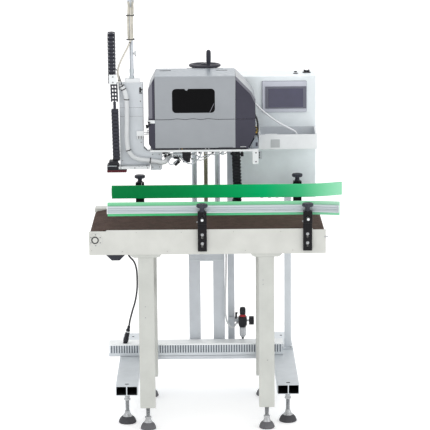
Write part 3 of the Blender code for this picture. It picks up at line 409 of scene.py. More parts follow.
class Shape:
    """Collects closed forms, each with one of its finishes, into one mesh."""

    def __init__(self, *finishes):
        self.finishes = finishes
        self.bm = bmesh.new()

    def take(self, bm, mat):
        bmesh.ops.recalc_face_normals(bm, faces=bm.faces)
        for face in bm.faces:
            if mat is not None:
                face.material_index = mat
            face.smooth = True
        mesh = bpy.data.meshes.new("taken")
        bm.to_mesh(mesh)
        bm.free()
        self.bm.from_mesh(mesh)
        bpy.data.meshes.remove(mesh)
        return self

    def box(self, low, high, mat=0, edge=0.0006, segments=2):
        bm = bmesh.new()
        low, high = Vector(low), Vector(high)
        size = Matrix.Diagonal((*(high - low), 1))
        bmesh.ops.create_cube(bm, size=1, matrix=Matrix.Translation((low + high) / 2) @ size)
        soften(bm, edge, segments=segments)
        return self.take(bm, mat)

    def turned_box(self, centre, size, turn, mat=0, edge=0.0006):
        """A box of that size about its centre, turned by a matrix."""
        bm = bmesh.new()
        bmesh.ops.create_cube(bm, size=1, matrix=Matrix.Diagonal((*size, 1)))
        soften(bm, edge)
        bmesh.ops.transform(bm, matrix=Matrix.Translation(centre) @ turn, verts=bm.verts)
        return self.take(bm, mat)

    def prism(self, points, plane, start, end, mat=0, edge=0.0006, pick=None, segments=2):
        bm = bmesh.new()
        to = PLANES[plane]
        face = bm.faces.new([bm.verts.new(to(u, v, start)) for u, v in points])
        grown = bmesh.ops.extrude_face_region(bm, geom=[face])
        moved = [g for g in grown["geom"] if isinstance(g, bmesh.types.BMVert)]
        bmesh.ops.translate(bm, verts=moved, vec=to(0, 0, end - start))
        bmesh.ops.recalc_face_normals(bm, faces=bm.faces)
        soften(bm, edge, pick, segments)
        return self.take(bm, mat)

    def lathe(self, profile, at=(0, 0, 0), axis=UP, mat=0, steps=32):
        """Turns (radius, height) points about an axis through `at`."""
        bm = bmesh.new()
        rings = []
        for radius, height in profile:
            if radius < 1e-6:
                rings.append([bm.verts.new((0, 0, height))])
                continue
            rings.append([bm.verts.new((u, v, height)) for _, u, v in around(steps, radius)])
        for a, b in zip(rings, rings[1:]):
            for i in range(steps):
                j = (i + 1) % steps
                corners = [a[i % len(a)], a[j % len(a)], b[j % len(b)], b[i % len(b)]]
                unique = list(dict.fromkeys(corners))
                if len(unique) > 2:
                    bm.faces.new(unique)
        for ring in (rings[0], rings[-1]):
            if len(ring) > 1:
                bm.faces.new(ring)
        bmesh.ops.transform(bm, matrix=Matrix.Translation(at) @ turn_to(axis), verts=bm.verts)
        return self.take(bm, mat)

    def ring(self, inner, outer, high, at, axis=UP, mat=0, steps=32):
        """A flat ring, or a disc where inner is 0."""
        return self.lathe([(inner, 0), (outer, 0), (outer, high), (inner, high)], at, axis, mat, steps)

    def boxes(self, *rows):
        for row in rows:
            self.box(*row)
        return self

    def rods(self, *rows):
        for row in rows:
            self.rod(*row)
        return self

    def rod(self, start, axis, length, radius, mat=0, steps=24, edge=0.0005, end=None):
        edge = min(edge, radius * 0.4, length * 0.3)
        tip = radius if end is None else end
        profile = [(0, 0), (radius - edge, 0), (radius, edge), (tip, length - edge),
            (tip - min(edge, tip * 0.5), length), (0, length)]
        return self.lathe(profile, start, axis, mat, steps)

    def bolt(self, at, axis, size, mat=0, dark=None, kind="hex"):
        """A washer and a bolt head on a face at `at`. size is the thread's diameter."""
        axis = Vector(axis).normalized()
        at = Vector(at)
        self.rod(at - axis * 0.0003, axis, size * 0.15 + 0.0003, size * 1.05, mat, 20, 0.0002)
        top = at + axis * size * 0.15
        if kind == "hex":
            self.lathe([(0, 0), (size * 0.92, 0), (size * 0.92, size * 0.5), (size * 0.8, size * 0.62),
                (0, size * 0.62)], top, axis, mat, 6)
        else:
            high = size * (0.9 if kind == "cap" else 0.45)
            self.rod(top, axis, high, size * 0.8, mat, 18, 0.0004)
            # A flat dark disc in the socket: painted shade of the recess.
            if dark is not None:
                self.ring(0, size * 0.45, 0.0003, top + axis * (high - 0.0001), axis, dark, 6)
        return self

    def tube(self, route, radius, mat=0, sides=12, spacing=0.008):
        points = smooth_route(route, spacing)
        bm = bmesh.new()
        rings = []
        forward = (points[1] - points[0]).normalized()
        side = forward.orthogonal().normalized()
        for i, point in enumerate(points):
            ahead = (points[min(i + 1, len(points) - 1)] - points[max(i - 1, 0)]).normalized()
            side = (side - ahead * side.dot(ahead)).normalized()
            other = ahead.cross(side)
            rings.append([bm.verts.new(point + u * side + v * other) for _, u, v in around(sides, radius)])
        skin(bm, rings)
        return self.take(bm, mat)

    def sweep(self, path, section, mat=0):
        """A closed (offset, z) section carried along a plan path of (x, y) points, offset to its left."""
        bm = bmesh.new()
        rings = []
        for i, (x, y) in enumerate(path):
            (xa, ya), (xb, yb) = path[max(i - 1, 0)], path[min(i + 1, len(path) - 1)]
            length = math.hypot(xb - xa, yb - ya)
            nx, ny = -(yb - ya) / length, (xb - xa) / length
            rings.append([bm.verts.new((x + nx * o, y + ny * o, z)) for o, z in section])
        skin(bm, rings)
        return self.take(bm, mat)

    def as_object(self):
        mesh = bpy.data.meshes.new("working")
        self.bm.to_mesh(mesh)
        for made in self.finishes:
            mesh.materials.append(made)
        return put("working", mesh)

    def applied(self, body, *others):
        """Takes back the mesh of a working object with its modifiers applied, and removes the objects."""
        bpy.context.view_layer.update()
        mesh = bpy.data.meshes.new_from_object(body.evaluated_get(bpy.context.evaluated_depsgraph_get()))
        self.bm.free()
        self.bm = bmesh.new()
        self.bm.from_mesh(mesh)
        for face in self.bm.faces:
            face.smooth = True
        bpy.data.meshes.remove(mesh)
        for obj in (body, *others):
            bpy.data.objects.remove(obj, do_unlink=True)
        return self

    def cut(self, *tools):
        """Takes each tool's form away from this one. A tool's own material index stays on the cut faces."""
        body = self.as_object()
        others = []
        for tool in tools:
            tool.finishes = self.finishes
            others.append(tool.as_object())
            step = body.modifiers.new("cut", "BOOLEAN")
            step.operation, step.solver, step.object = "DIFFERENCE", "EXACT", others[-1]
        return self.applied(body, *others)

    def paint(self, mat, test):
        """Gives a finish to the faces whose middle and normal pass the test."""
        for face in self.bm.faces:
            if test(face.calc_center_median(), face.normal):
                face.material_index = mat
        return self

    def drop(self, test):
        """Removes faces, to leave an open sheet."""
        gone = [f for f in self.bm.faces if test(f.calc_center_median(), f.normal)]
        bmesh.ops.delete(self.bm, geom=gone, context="FACES")
        return self

    def thicken(self, thickness):
        """Makes an open sheet solid, inward."""
        obj = self.as_object()
        step = obj.modifiers.new("thickness", "SOLIDIFY")
        step.thickness, step.offset, step.use_even_offset = thickness, -1, True
        return self.applied(obj)

    def done(self, name, body, replaces=(), slot=None, blend=None):
        mesh = bpy.data.meshes.new(name)
        self.bm.to_mesh(mesh)
        self.bm.free()
        mesh.transform(Matrix.Translation(AT))
        for made in self.finishes:
            mesh.materials.append(made)
        mesh.set_sharp_from_angle(angle=SHARP_FACE)
        obj = put(name, mesh)
        even = obj.modifiers.new("even_normals", "WEIGHTED_NORMAL")
        even.keep_sharp = True
        if blend:
            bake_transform(obj)
        else:
            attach(obj, body)
        if replaces:
            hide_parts(*([replaces] if isinstance(replaces, str) else replaces))
        return obj


# ---- cords --------------------------------------------------------------------------------------
HOSE_ROUTE = (
    (-0.367, 0.318, 1.453), (-0.352, 0.316, 1.427), (-0.344, 0.315, 1.388), (-0.343, 0.315, 1.323),
    (-0.345, 0.315, 1.257), (-0.344, 0.315, 1.196), (-0.337, 0.315, 1.163), (-0.319, 0.315, 1.14),
    (-0.294, 0.315, 1.128), (-0.268, 0.315, 1.124), (-0.242, 0.315, 1.121), (-0.216, 0.315, 1.117),
    (-0.194, 0.3165, 1.113), (-0.179, 0.326, 1.116), (-0.17, 0.345, 1.127), (-0.161, 0.359, 1.1342),
    (-0.1505, 0.3605, 1.1352),
)
SENSOR_ROUTE = (
    (-0.321, 0.336, 1.786), (-0.321, 0.3345, 1.76), (-0.321, 0.3345, 1.706), (-0.3215, 0.3345, 1.656),
    (-0.326, 0.334, 1.636), (-0.339, 0.332, 1.608), (-0.358, 0.33, 1.572), (-0.372, 0.328, 1.542),
    (-0.379, 0.324, 1.515), (-0.378, 0.32, 1.49), (-0.372, 0.318, 1.464),
)
MOTOR_ROUTE = (
    (-0.37, 0.44, 0.724), (-0.364, 0.45, 0.696), (-0.348, 0.47, 0.66), (-0.33, 0.49, 0.633),
    (-0.32, 0.505, 0.595), (-0.318, 0.515, 0.545), (-0.32, 0.525, 0.495), (-0.329, 0.535, 0.44),
    (-0.342, 0.545, 0.395), (-0.354, 0.554, 0.35), (-0.36, 0.56, 0.318),
)
AIR_ROUTE = (
    (0.086, 0.65, 0.76), (0.086, 0.645, 0.7), (0.085, 0.635, 0.63), (0.083, 0.625, 0.537),
    (0.08, 0.62, 0.44), (0.079, 0.62, 0.37), (0.084, 0.62, 0.328), (0.095, 0.618, 0.303),
    (0.107, 0.617, 0.29), (0.119, 0.627, 0.293), (0.127, 0.637, 0.303), (0.137, 0.64, 0.308),
)
DATA_ROUTE = (
    (0.17, 0.5825, 1.362), (0.1702, 0.5915, 1.3618), (0.179, 0.5985, 1.357), (0.194, 0.5995, 1.349),
    (0.209, 0.596, 1.338), (0.224, 0.59, 1.324), (0.252, 0.579, 1.297), (0.293, 0.568, 1.265),
    (0.328, 0.562, 1.242), (0.362, 0.558, 1.224), (0.386, 0.556, 1.212), (0.4, 0.556, 1.2),
    (0.406, 0.556, 1.18), (0.406, 0.556, 1.158),
)
PLUG_AXIS = Vector((-0.22, 0.16, -0.96)).normalized()


def cord(name, route, radius, jacket, body, slot,
        blend=None):
    """A round cord along the CAD's own route."""
    obj = Shape(jacket).tube(route, radius, sides=16, spacing=0.006).done(name, body, slot.get("node"),
        slot.get("slot"), blend=blend)


def cords():
    start = Vector(MOTOR_ROUTE[-1]) + PLUG_AXIS * GAP
    plug = Shape(BLACK, HOSE)
    plug.lathe([(0, 0), (0.0052, 0), (0.0064, 0.002), (0.0068, 0.016), (0.0094, 0.018), (0.0094, 0.024),
        (0.008, 0.0255), (0.008, 0.031), (0.01, 0.033), (0.0104, 0.058), (0.0116, 0.06), (0.0116, 0.078),
        (0.0102, 0.08), (0.0102, 0.094), (0.009, 0.0958), (0, 0.0958)], start, PLUG_AXIS, 0, 24)
    plug.rod(start + PLUG_AXIS * 0.0258, PLUG_AXIS, 0.0048, 0.0088, 1)
    for i in range(7):
        plug.rod(start + PLUG_AXIS * (0.0615 + i * 0.0022), PLUG_AXIS, 0.0011, 0.0118, 0, 24, 0.0002)
    plug = plug.done("motor_plug", "frame", "motor_cable_connector", "black_plastic")
    cord("motor_lead", MOTOR_ROUTE, 0.004, CABLE, "frame", {"node": "motor_cable", "slot": "black_plastic"})
    cord("air_line", AIR_ROUTE, 0.004, HOSE, "frame", {"node": "air_hose", "slot": "white_hose"})
    cord("applicator_line", HOSE_ROUTE, 0.0105, HOSE, "lift", {"node": "applicator_hose", "slot": "white_hose"})
    cord("pole_lead", SENSOR_ROUTE, 0.004, CREAM_CABLE, "lift", {"node": "sensor_cable", "slot": "cream_cable"})
    cord("data_lead", DATA_ROUTE, 0.004, WHITE_JACKET, ("frame", "lift"),
        {"node": "data_cable", "slot": "white_hose"}, blend=(1.158, 1.36))


cords()


def tie(shape, centre, axis, radius, mat, width=0.004):
    """A cable tie: a thin band with its locking head."""
    axis = Vector(axis).normalized()
    centre = Vector(centre)
    outer, inner = radius + 0.0012, radius * 0.9
    shape.ring(inner, outer, width, centre - axis * width / 2, axis, mat, 20)
    side = axis.orthogonal().normalized()
    shape.turned_box(centre + side * (radius + 0.002), (0.005, 0.005, 0.0035), turn_to(axis), mat, 0.0004)


# ---- stand --------------------------------------------------------------------------------------
RAIL_X = {"left": -0.355, "right": 0.3437}
RAIL_LOW, RAIL_HIGH = 0.1325, 0.1767


def foot(zinc, rubber, x, y, top, pad_r, cap, nuts):
    """Threaded stud, lock nuts and ball hub in zinc, on a domed rubber pad."""
    steps = 40
    thread = [(0, 0.036)]
    for i in range(int((top - 0.036) / 0.002)):
        thread += [(0.0076, 0.036 + i * 0.002), (0.0087, 0.037 + i * 0.002)]
    thread += [(0.0078, top), (0, top)]
    zinc.lathe(thread, (x, y, 0), steps=16)
    for low in nuts:
        nut = [(0, low), (0.0122, low), (0.0143, low + 0.0018), (0.0143, low + 0.0085), (0.0122, low + 0.0102),
            (0, low + 0.0102)]
        zinc.lathe(nut, (x, y, 0), steps=6)
    hub = [(0, cap - 0.004), (pad_r * 0.6, cap - 0.004), (pad_r * 0.56, cap + 0.0015),
        (pad_r * 0.43, cap + 0.007), (0.0122, cap + 0.014), (0.0108, cap + 0.021), (0.01, cap + 0.024),
        (0, cap + 0.024)]
    zinc.lathe(hub, (x, y, 0), steps=steps)
    dome = [(0, 0), (pad_r - 0.002, 0), (pad_r, 0.0015), (pad_r, 0.007), (pad_r - 0.001, 0.0095),
        (pad_r * 0.93, cap * 0.48), (pad_r * 0.85, cap * 0.68), (pad_r * 0.72, cap * 0.88), (pad_r * 0.6, cap),
        (0, cap)]
    rubber.lathe(dome, (x, y, 0), steps=steps)
    rubber.lathe([(pad_r - 0.0012, 0.0022), (pad_r + 0.0004, 0.0028), (pad_r + 0.0004, 0.0048),
        (pad_r - 0.0012, 0.0054)], (x, y, 0), steps=steps)


def stand():
    zinc, rubber = Shape(ZINC), Shape(RUBBER)
    for side, x in RAIL_X.items():
        rail = Shape(PALE, DARK_SHADE_AND_PRINT).box((x - 0.048, 0.07, RAIL_LOW), (x + 0.048, 0.97, RAIL_HIGH), edge=0.004,
            segments=4)
        bores = []
        for sign in (-1, 1):
            a, b = sorted((x + sign * 0.0022, x + sign * 0.0445))
            # The bores' walls keep the near-black finish: painted shade inside the hollow rail.
            bores.append(opening((a, RAIL_LOW + 0.0035), (b, RAIL_HIGH - 0.0035), 0.0025, 3, "XZ", 0.04, 1.0))
        slot = opening((x - 0.009, 0.094), (x + 0.009, 0.106), 0.0055, 6, "XY", RAIL_HIGH - 0.01,
            RAIL_HIGH + 0.01)
        drain = opening((x - 0.006, 0.896), (x + 0.006, 0.908), 0.0055, 6, "XY", RAIL_HIGH - 0.01,
            RAIL_HIGH + 0.01)
        rail.cut(*bores, slot, drain)
        rail.done(f"stand_rail_{side}", "frame", f"base_rail_{side}", "white_powder_coat")
        for y in (0.118, 0.922):
            foot(zinc, rubber, x, y, RAIL_LOW, 0.038, 0.029, (RAIL_LOW - 0.0115, RAIL_LOW - 0.033))
            zinc.rod((x, y, RAIL_LOW - 0.0235), UP, 0.012, 0.0112, 0, 20)
    zinc.done("stand_foot_studs", "frame", slot="zinc_steel")
    rubber.done("stand_foot_pads", "frame", slot="black_plastic")


def duct():
    """Slotted wiring duct: two fingered walls, a floor and a clipped-on lid with returned edges."""
    x0, x1, y0, y1, z0, z1 = -0.4536, 0.34, 0.553, 0.629, RAIL_HIGH + GAP, 0.234
    body = Shape(PALE, DUCT_SHADE)
    body.box((x0, y0, z0), (x1, y1, z0 + 0.002), edge=0.0004)
    # Backing strip behind the front wall so the slots show dark: painted shade.
    body.box((x0 + 0.003, y0 + 0.005, z0 + 0.002), (x1 - 0.003, y0 + 0.0062, z1 - 0.004), 1, 0)
    pitch, finger = 0.01163, 0.0066
    count = int((x1 - x0) / pitch)
    lead = ((x1 - x0) - count * pitch + pitch - finger) / 2
    for y in (y0, y1 - 0.002):
        body.box((x0, y, z0), (x1, y + 0.002, z0 + 0.0148), edge=0.0004)
        body.box((x0, y, z1 - 0.0075), (x1, y + 0.002, z1 - 0.0022), edge=0.0004)
        for i in range(count):
            x = x0 + lead + i * pitch
            body.box((x, y, z0 + 0.014), (x + finger, y + 0.002, z1 - 0.007), edge=0.0005)
    body.done("duct_body", "frame", "wiring_duct", "duct_pvc")
    lid = Shape(LID_WHITE)
    side = [(y0 - 0.0012, z1 - 0.0065), (y0 - 0.0012, z1), (y1 + 0.0012, z1), (y1 + 0.0012, z1 - 0.0065),
        (y1 + 0.0001, z1 - 0.0065), (y1 + 0.0001, z1 - 0.0014), (y0 - 0.0001, z1 - 0.0014),
        (y0 - 0.0001, z1 - 0.0065)]
    lid.prism(side, "YZ", x0 - 0.0005, x1 + 0.0005, 0, 0.0004)
    lid.done("duct_lid", "frame", slot="duct_pvc")
    screws = Shape(ZINC, DARK_SHADE_AND_PRINT)
    for x in (-0.36, 0.2):
        screws.bolt((x, y0 + 0.04, z0 + 0.002), UP, 0.006, 0, 1, "pan")
    screws.done("duct_screws", "frame", slot="zinc_steel")


# ---- mast ---------------------------------------------------------------------------------------
MAST_X, MAST_Y = -0.0045, 0.662
MAST_HALF = 0.0815
ROD_OUT = 0.052  # from the screw to each guide rod


def mast():
    low, top, half, post = RAIL_HIGH, 0.634, MAST_HALF, 0.052
    gate = Shape(MAST, ZINC, PALE, DARK_SHADE_AND_PRINT)
    for sign in (-1, 1):
        a, b = sorted((MAST_X + sign * half, MAST_X + sign * (half - post)))
        gate.box((a, MAST_Y - 0.025, low), (b, MAST_Y + 0.025, top - 0.0305), edge=0.003, segments=3)
    beam = [(MAST_X - half, top - 0.034), (MAST_X - half, top - 0.009), (MAST_X - half + 0.008, top - 0.001),
        (MAST_X + half - 0.008, top - 0.001), (MAST_X + half, top - 0.009), (MAST_X + half, top - 0.034)]
    gate.prism(beam, "XZ", MAST_Y - 0.0252, MAST_Y + 0.0252, 0, 0.0015)
    gate.box((MAST_X - half - 0.001, MAST_Y - 0.028, top - 0.0045),
        (MAST_X + half + 0.001, MAST_Y + 0.028, top), edge=0.0012)
    gate.box((MAST_X - half + 0.006, MAST_Y - 0.0268, top - 0.0345),
        (MAST_X + half - 0.004, MAST_Y - 0.025, top - 0.0268), 2, 0.0006)
    # Dark strip at the top of the mast beam: painted shadow.
    gate.box((MAST_X - 0.058, MAST_Y - 0.0275, top + 0.0002), (MAST_X + 0.064, MAST_Y - 0.0215, top + 0.0062),
        3, 0.0008)
    for sign in (-1, 1):
        x = MAST_X + sign * (half - 0.011)
        for y in (MAST_Y - 0.018, MAST_Y + 0.018):
            gate.bolt((x, y, top), UP, 0.0055, 1)
    inner = (RAIL_X["left"] + 0.048 + GAP, RAIL_X["right"] - 0.048 - GAP)
    gate.box((inner[0], 0.553, 0.1605), (inner[1], 0.722, RAIL_HIGH), edge=0.0015)
    for x in (inner[0] + 0.03, -0.14, 0.17, inner[1] - 0.03):
        gate.bolt((x, 0.69, RAIL_HIGH), UP, 0.008, 1)
    post_x = 0.1222
    gate.box((post_x - 0.03, 0.672, RAIL_HIGH), (post_x, 0.702, 1.25), edge=0.002, segments=3)
    gate.done("mast_gate", "frame", "mast_frame", "mast_grey")
    for side, sign in (("left", -1), ("right", 1)):
        x = MAST_X + sign * ROD_OUT
        rod = Shape(CHROME)
        rod.rod((x, MAST_Y, top + GAP), UP, 1.462 - top - 2 * GAP, 0.012, 0, 40, 0.0012)
        rod.done(f"guide_column_{side}", "frame", f"guide_rod_{side}", "hard_chrome")
        collar = Shape(ZINC, DARK_SHADE_AND_PRINT)
        collar.lathe([(0.0121, 0), (0.019, 0), (0.02, 0.001), (0.02, 0.011), (0.019, 0.012), (0.0121, 0.012)],
            (x, MAST_Y, top + 0.0004), steps=40)
        collar.bolt((x, MAST_Y - 0.0198, top + 0.006), TOWARD, 0.004, 0, 1, "cap")
        collar.done(f"column_collar_{side}", "frame", slot="zinc_steel")
    screw = Shape(BRONZE)
    bottom, high, pitch = top + 0.0013, 1.485, 0.005
    screw.rod((MAST_X, MAST_Y, bottom), UP, high - bottom, 0.0084, 0, 20)
    turns, steps = int((1.455 - bottom - 0.006) / pitch), 14
    bm = bmesh.new()
    rings = []
    for i in range(turns * steps + 1):
        angle = math.tau * i / steps
        z = bottom + 0.003 + pitch * i / steps
        c, s = math.cos(angle), math.sin(angle)
        rings.append([bm.verts.new((MAST_X + r * c, MAST_Y + r * s, z + dz)) for r, dz in ((0.008, -0.0014),
            (0.0099, -0.0008), (0.0099, 0.0008), (0.008, 0.0014))])
    skin(bm, rings)
    screw.take(bm, 0)
    screw.done("lift_screw", "screw", "lead_screw", "bronze_screw")
    head = Shape(BLACK, ZINC, DARK_SHADE_AND_PRINT)
    head.box((MAST_X - half, MAST_Y - 0.028, 1.4622), (MAST_X + half, MAST_Y + 0.028, 1.478), edge=0.0015)
    head.cut(Shape().rod((MAST_X, MAST_Y, 1.45), UP, 0.05, 0.0112, 2, 32))
    for sign in (-1, 1):
        head.bolt((MAST_X + sign * ROD_OUT, MAST_Y, 1.478), UP, 0.008, 1, 2, "cap")
    head.done("mast_top_plate", "frame", "mast_head", "black_plastic")
    wheel = Shape(MOULD, ZINC)
    z, r = 1.4935, 0.072
    dish = [(0, z + 0.0095), (0.01, z + 0.0095), (0.0165, z + 0.0085), (0.0185, z + 0.005),
        (0.0215, z + 0.0005), (0.026, z - 0.0012), (0.049, z - 0.0012), (0.0525, z + 0.001),
        (0.0555, z + 0.0045), (0.06, z + 0.0062), (0.066, z + 0.0062), (0.07, z + 0.004), (r, z),
        (0.07, z - 0.0042), (0.066, z - 0.006), (0.06, z - 0.0058), (0.056, z - 0.005), (0.0215, z - 0.005),
        (0.018, z - 0.0085), (0, z - 0.0085)]
    wheel.lathe(dish, (MAST_X, MAST_Y, 0), steps=72)
    wheel.rod((MAST_X, MAST_Y, z + 0.0093), UP, 0.003, 0.0062, 1, 6)
    base = z + 0.002
    grip = [(0, base), (0.007, base), (0.0076, base + 0.008), (0.0066, base + 0.0105), (0.008, base + 0.0125),
        (0.0096, base + 0.02)]
    grip += [(0.0102 + (0.0007 if i % 2 else 0), base + 0.024 + i * 0.0021) for i in range(17)]
    grip += [(0.0102, base + 0.062), (0.009, base + 0.0685), (0.006, base + 0.0725), (0, base + 0.0738)]
    wheel.lathe(grip, (0.0125, 0.607, 0), steps=28)
    wheel.done("lift_handwheel", "screw", "handwheel", "black_plastic")


def carriage():
    """The bearing block with its bronze nut and four flanged bushes, and the arm under the plate."""
    half, z0, z1 = MAST_HALF, 1.2, 1.32
    block = Shape(ALUMINIUM, DARK_SHADE_AND_PRINT, ZINC, BRONZE)
    block.box((MAST_X - half, 0.617, z0), (MAST_X + half, 0.704, z1), edge=0.0012)
    bores = [Shape().rod((MAST_X + dx, MAST_Y, 1.1), UP, 0.4, r, 1, 32) for dx, r in ((-ROD_OUT, 0.0128),
        (ROD_OUT, 0.0128), (0, 0.0108))]
    block.cut(*bores)
    block.box((MAST_X - half, 0.5826, 1.17), (MAST_X + half, 0.618, 1.27), edge=0.0015)
    for dx in (-ROD_OUT, ROD_OUT):
        for z, way in ((z1, 1), (z0, -1)):
            block.lathe([(0.0126, 0), (0.0215, 0), (0.0225, 0.001), (0.0225, 0.005), (0.0215, 0.006),
                (0.0126, 0.006)], (MAST_X + dx, MAST_Y, z), (0, 0, way), 0, 36)
            for _, u, v in around(4, 0.0178, 45):
                block.bolt((MAST_X + dx + u, MAST_Y + v, z + way * 0.006), (0, 0, way), 0.0026, 2, 1, "cap")
    for z, way in ((z1, 1), (z0, -1)):
        block.lathe([(0.0106, 0), (0.0185, 0), (0.019, 0.0008), (0.019, 0.0075), (0.018, 0.0085),
            (0.0106, 0.0085)], (MAST_X, MAST_Y, z), (0, 0, way), 3, 32)
    for x in (MAST_X - 0.06, MAST_X, MAST_X + 0.06):
        for z in (1.225, 1.295):
            block.bolt((x, 0.704, z), AWAY, 0.006, 2, 1, "cap")
    block.done("carriage_block", "lift", "lift_carriage", "carriage_aluminium")


def plate():
    x0, x1 = -0.2454, 0.225
    deck = Shape(WHITE, ZINC, DARK_SHADE_AND_PRINT)
    deck.box((x0, 0.298, DECK_LOW), (x1, 0.612, DECK_TOP), edge=0.001)
    ear = Shape(WHITE, ZINC, DARK_SHADE_AND_PRINT)
    ear.prism(rounded((0.199, 1.105), (0.2248, 1.1612), 0.003, 4), "XZ", 0.2982, 0.3018, 0, 0.0005)
    holes = [Shape().rod((0.214, 0.28, z), AWAY, 0.05, 0.0032, 2, 20) for z in (1.1545, 1.115)]
    ear.cut(*holes)
    # Dark plate behind the ear's holes: painted shade.
    ear.box((0.208, 0.3014, 1.109), (0.22, 0.3022, 1.159), 2, 0)
    ear.done("plate_ear", "lift", slot="white_powder_coat")
    deck.box((0.2222, 0.3, 1.111), (0.225, 0.36, 1.1612), edge=0.0008)
    for x in (-0.2, -0.06, 0.06, 0.17):
        for y in (0.34, 0.55):
            deck.bolt((x, y, DECK_LOW), DOWN, 0.005, 1, 2, "pan")
    deck.done("printer_deck", "lift", "printer_plate", "white_powder_coat")
    side = Shape(GUSSET, DARK_SHADE_AND_PRINT, ZINC, SLATE)
    side.prism([(0.1842, 1.1697), (0.2248, 1.1697), (0.2248, 1.199), (0.219, 1.2085), (0.2085, 1.2118)], "XZ",
        0.33, 0.56, 0, 0.0016)
    side.prism([(0.2085, 1.21), (0.219, 1.207), (0.2235, 1.217), (0.2155, 1.221)], "XZ", 0.331, 0.334)
    side.box((0.2135, 0.3288, 1.178), (0.2228, 0.3304, 1.195), 3, 0.0004)
    side.bolt((0.1985, 0.33, 1.178), TOWARD, 0.003, 2, 1, "pan")
    side.done("deck_side_shield", "lift", slot="grey_powder_coat")
    tab = Shape(GREY, DARK_SHADE_AND_PRINT)
    tab.prism(rounded((0.2275, 1.072), (0.2495, 1.108), 0.003, 4), "XZ", 0.6172, 0.6196, 0, 0.0004)
    # The slots are dark patches on the tab's face: painted shade.
    for z in (1.0765, 1.087, 1.0975):
        tab.prism(rounded((0.235, z), (0.2395, z + 0.0065), 0.0018, 4), "XZ", 0.6168, 0.6174, 1, 0)
    tab.done("cabinet_slotted_tab", "frame", slot="grey_powder_coat")


# Where the deck is, and how far the fittings hanging from it reach up.
DECK_LOW, DECK_TOP, INTO_DECK, LINE_END = 1.1604, 1.1694, 1.1602, 1.1592


# ---- printer ------------------------------------------------------------------------------------
FRONT, REAR = 0.3, 0.582
SEAM = 1.302
LEFT, RIGHT = -0.2219, 0.1254
HOOD_TOP = 1.4897
SHEET = 0.0028


def wave(x):
    """The scallops of the joint between the hood and the lower cover."""
    t = (x + 0.16) / 0.205
    return 0.0034 * (0.5 - 0.5 * math.cos(math.tau * t * 3)) if 0 < t < 1 else 0.0


def scallops(seam):
    """The (x, z) points of the wavy joint at that height, from left to right."""
    xs = [LEFT + (RIGHT - LEFT) * i / 60 for i in range(61)]
    return [(x, seam + wave(x)) for x in xs]


def above(edge, level):
    return all(v.co.z > level for v in edge.verts)


def tilted(edge):
    return edge.verts[0].co.z != edge.verts[1].co.z


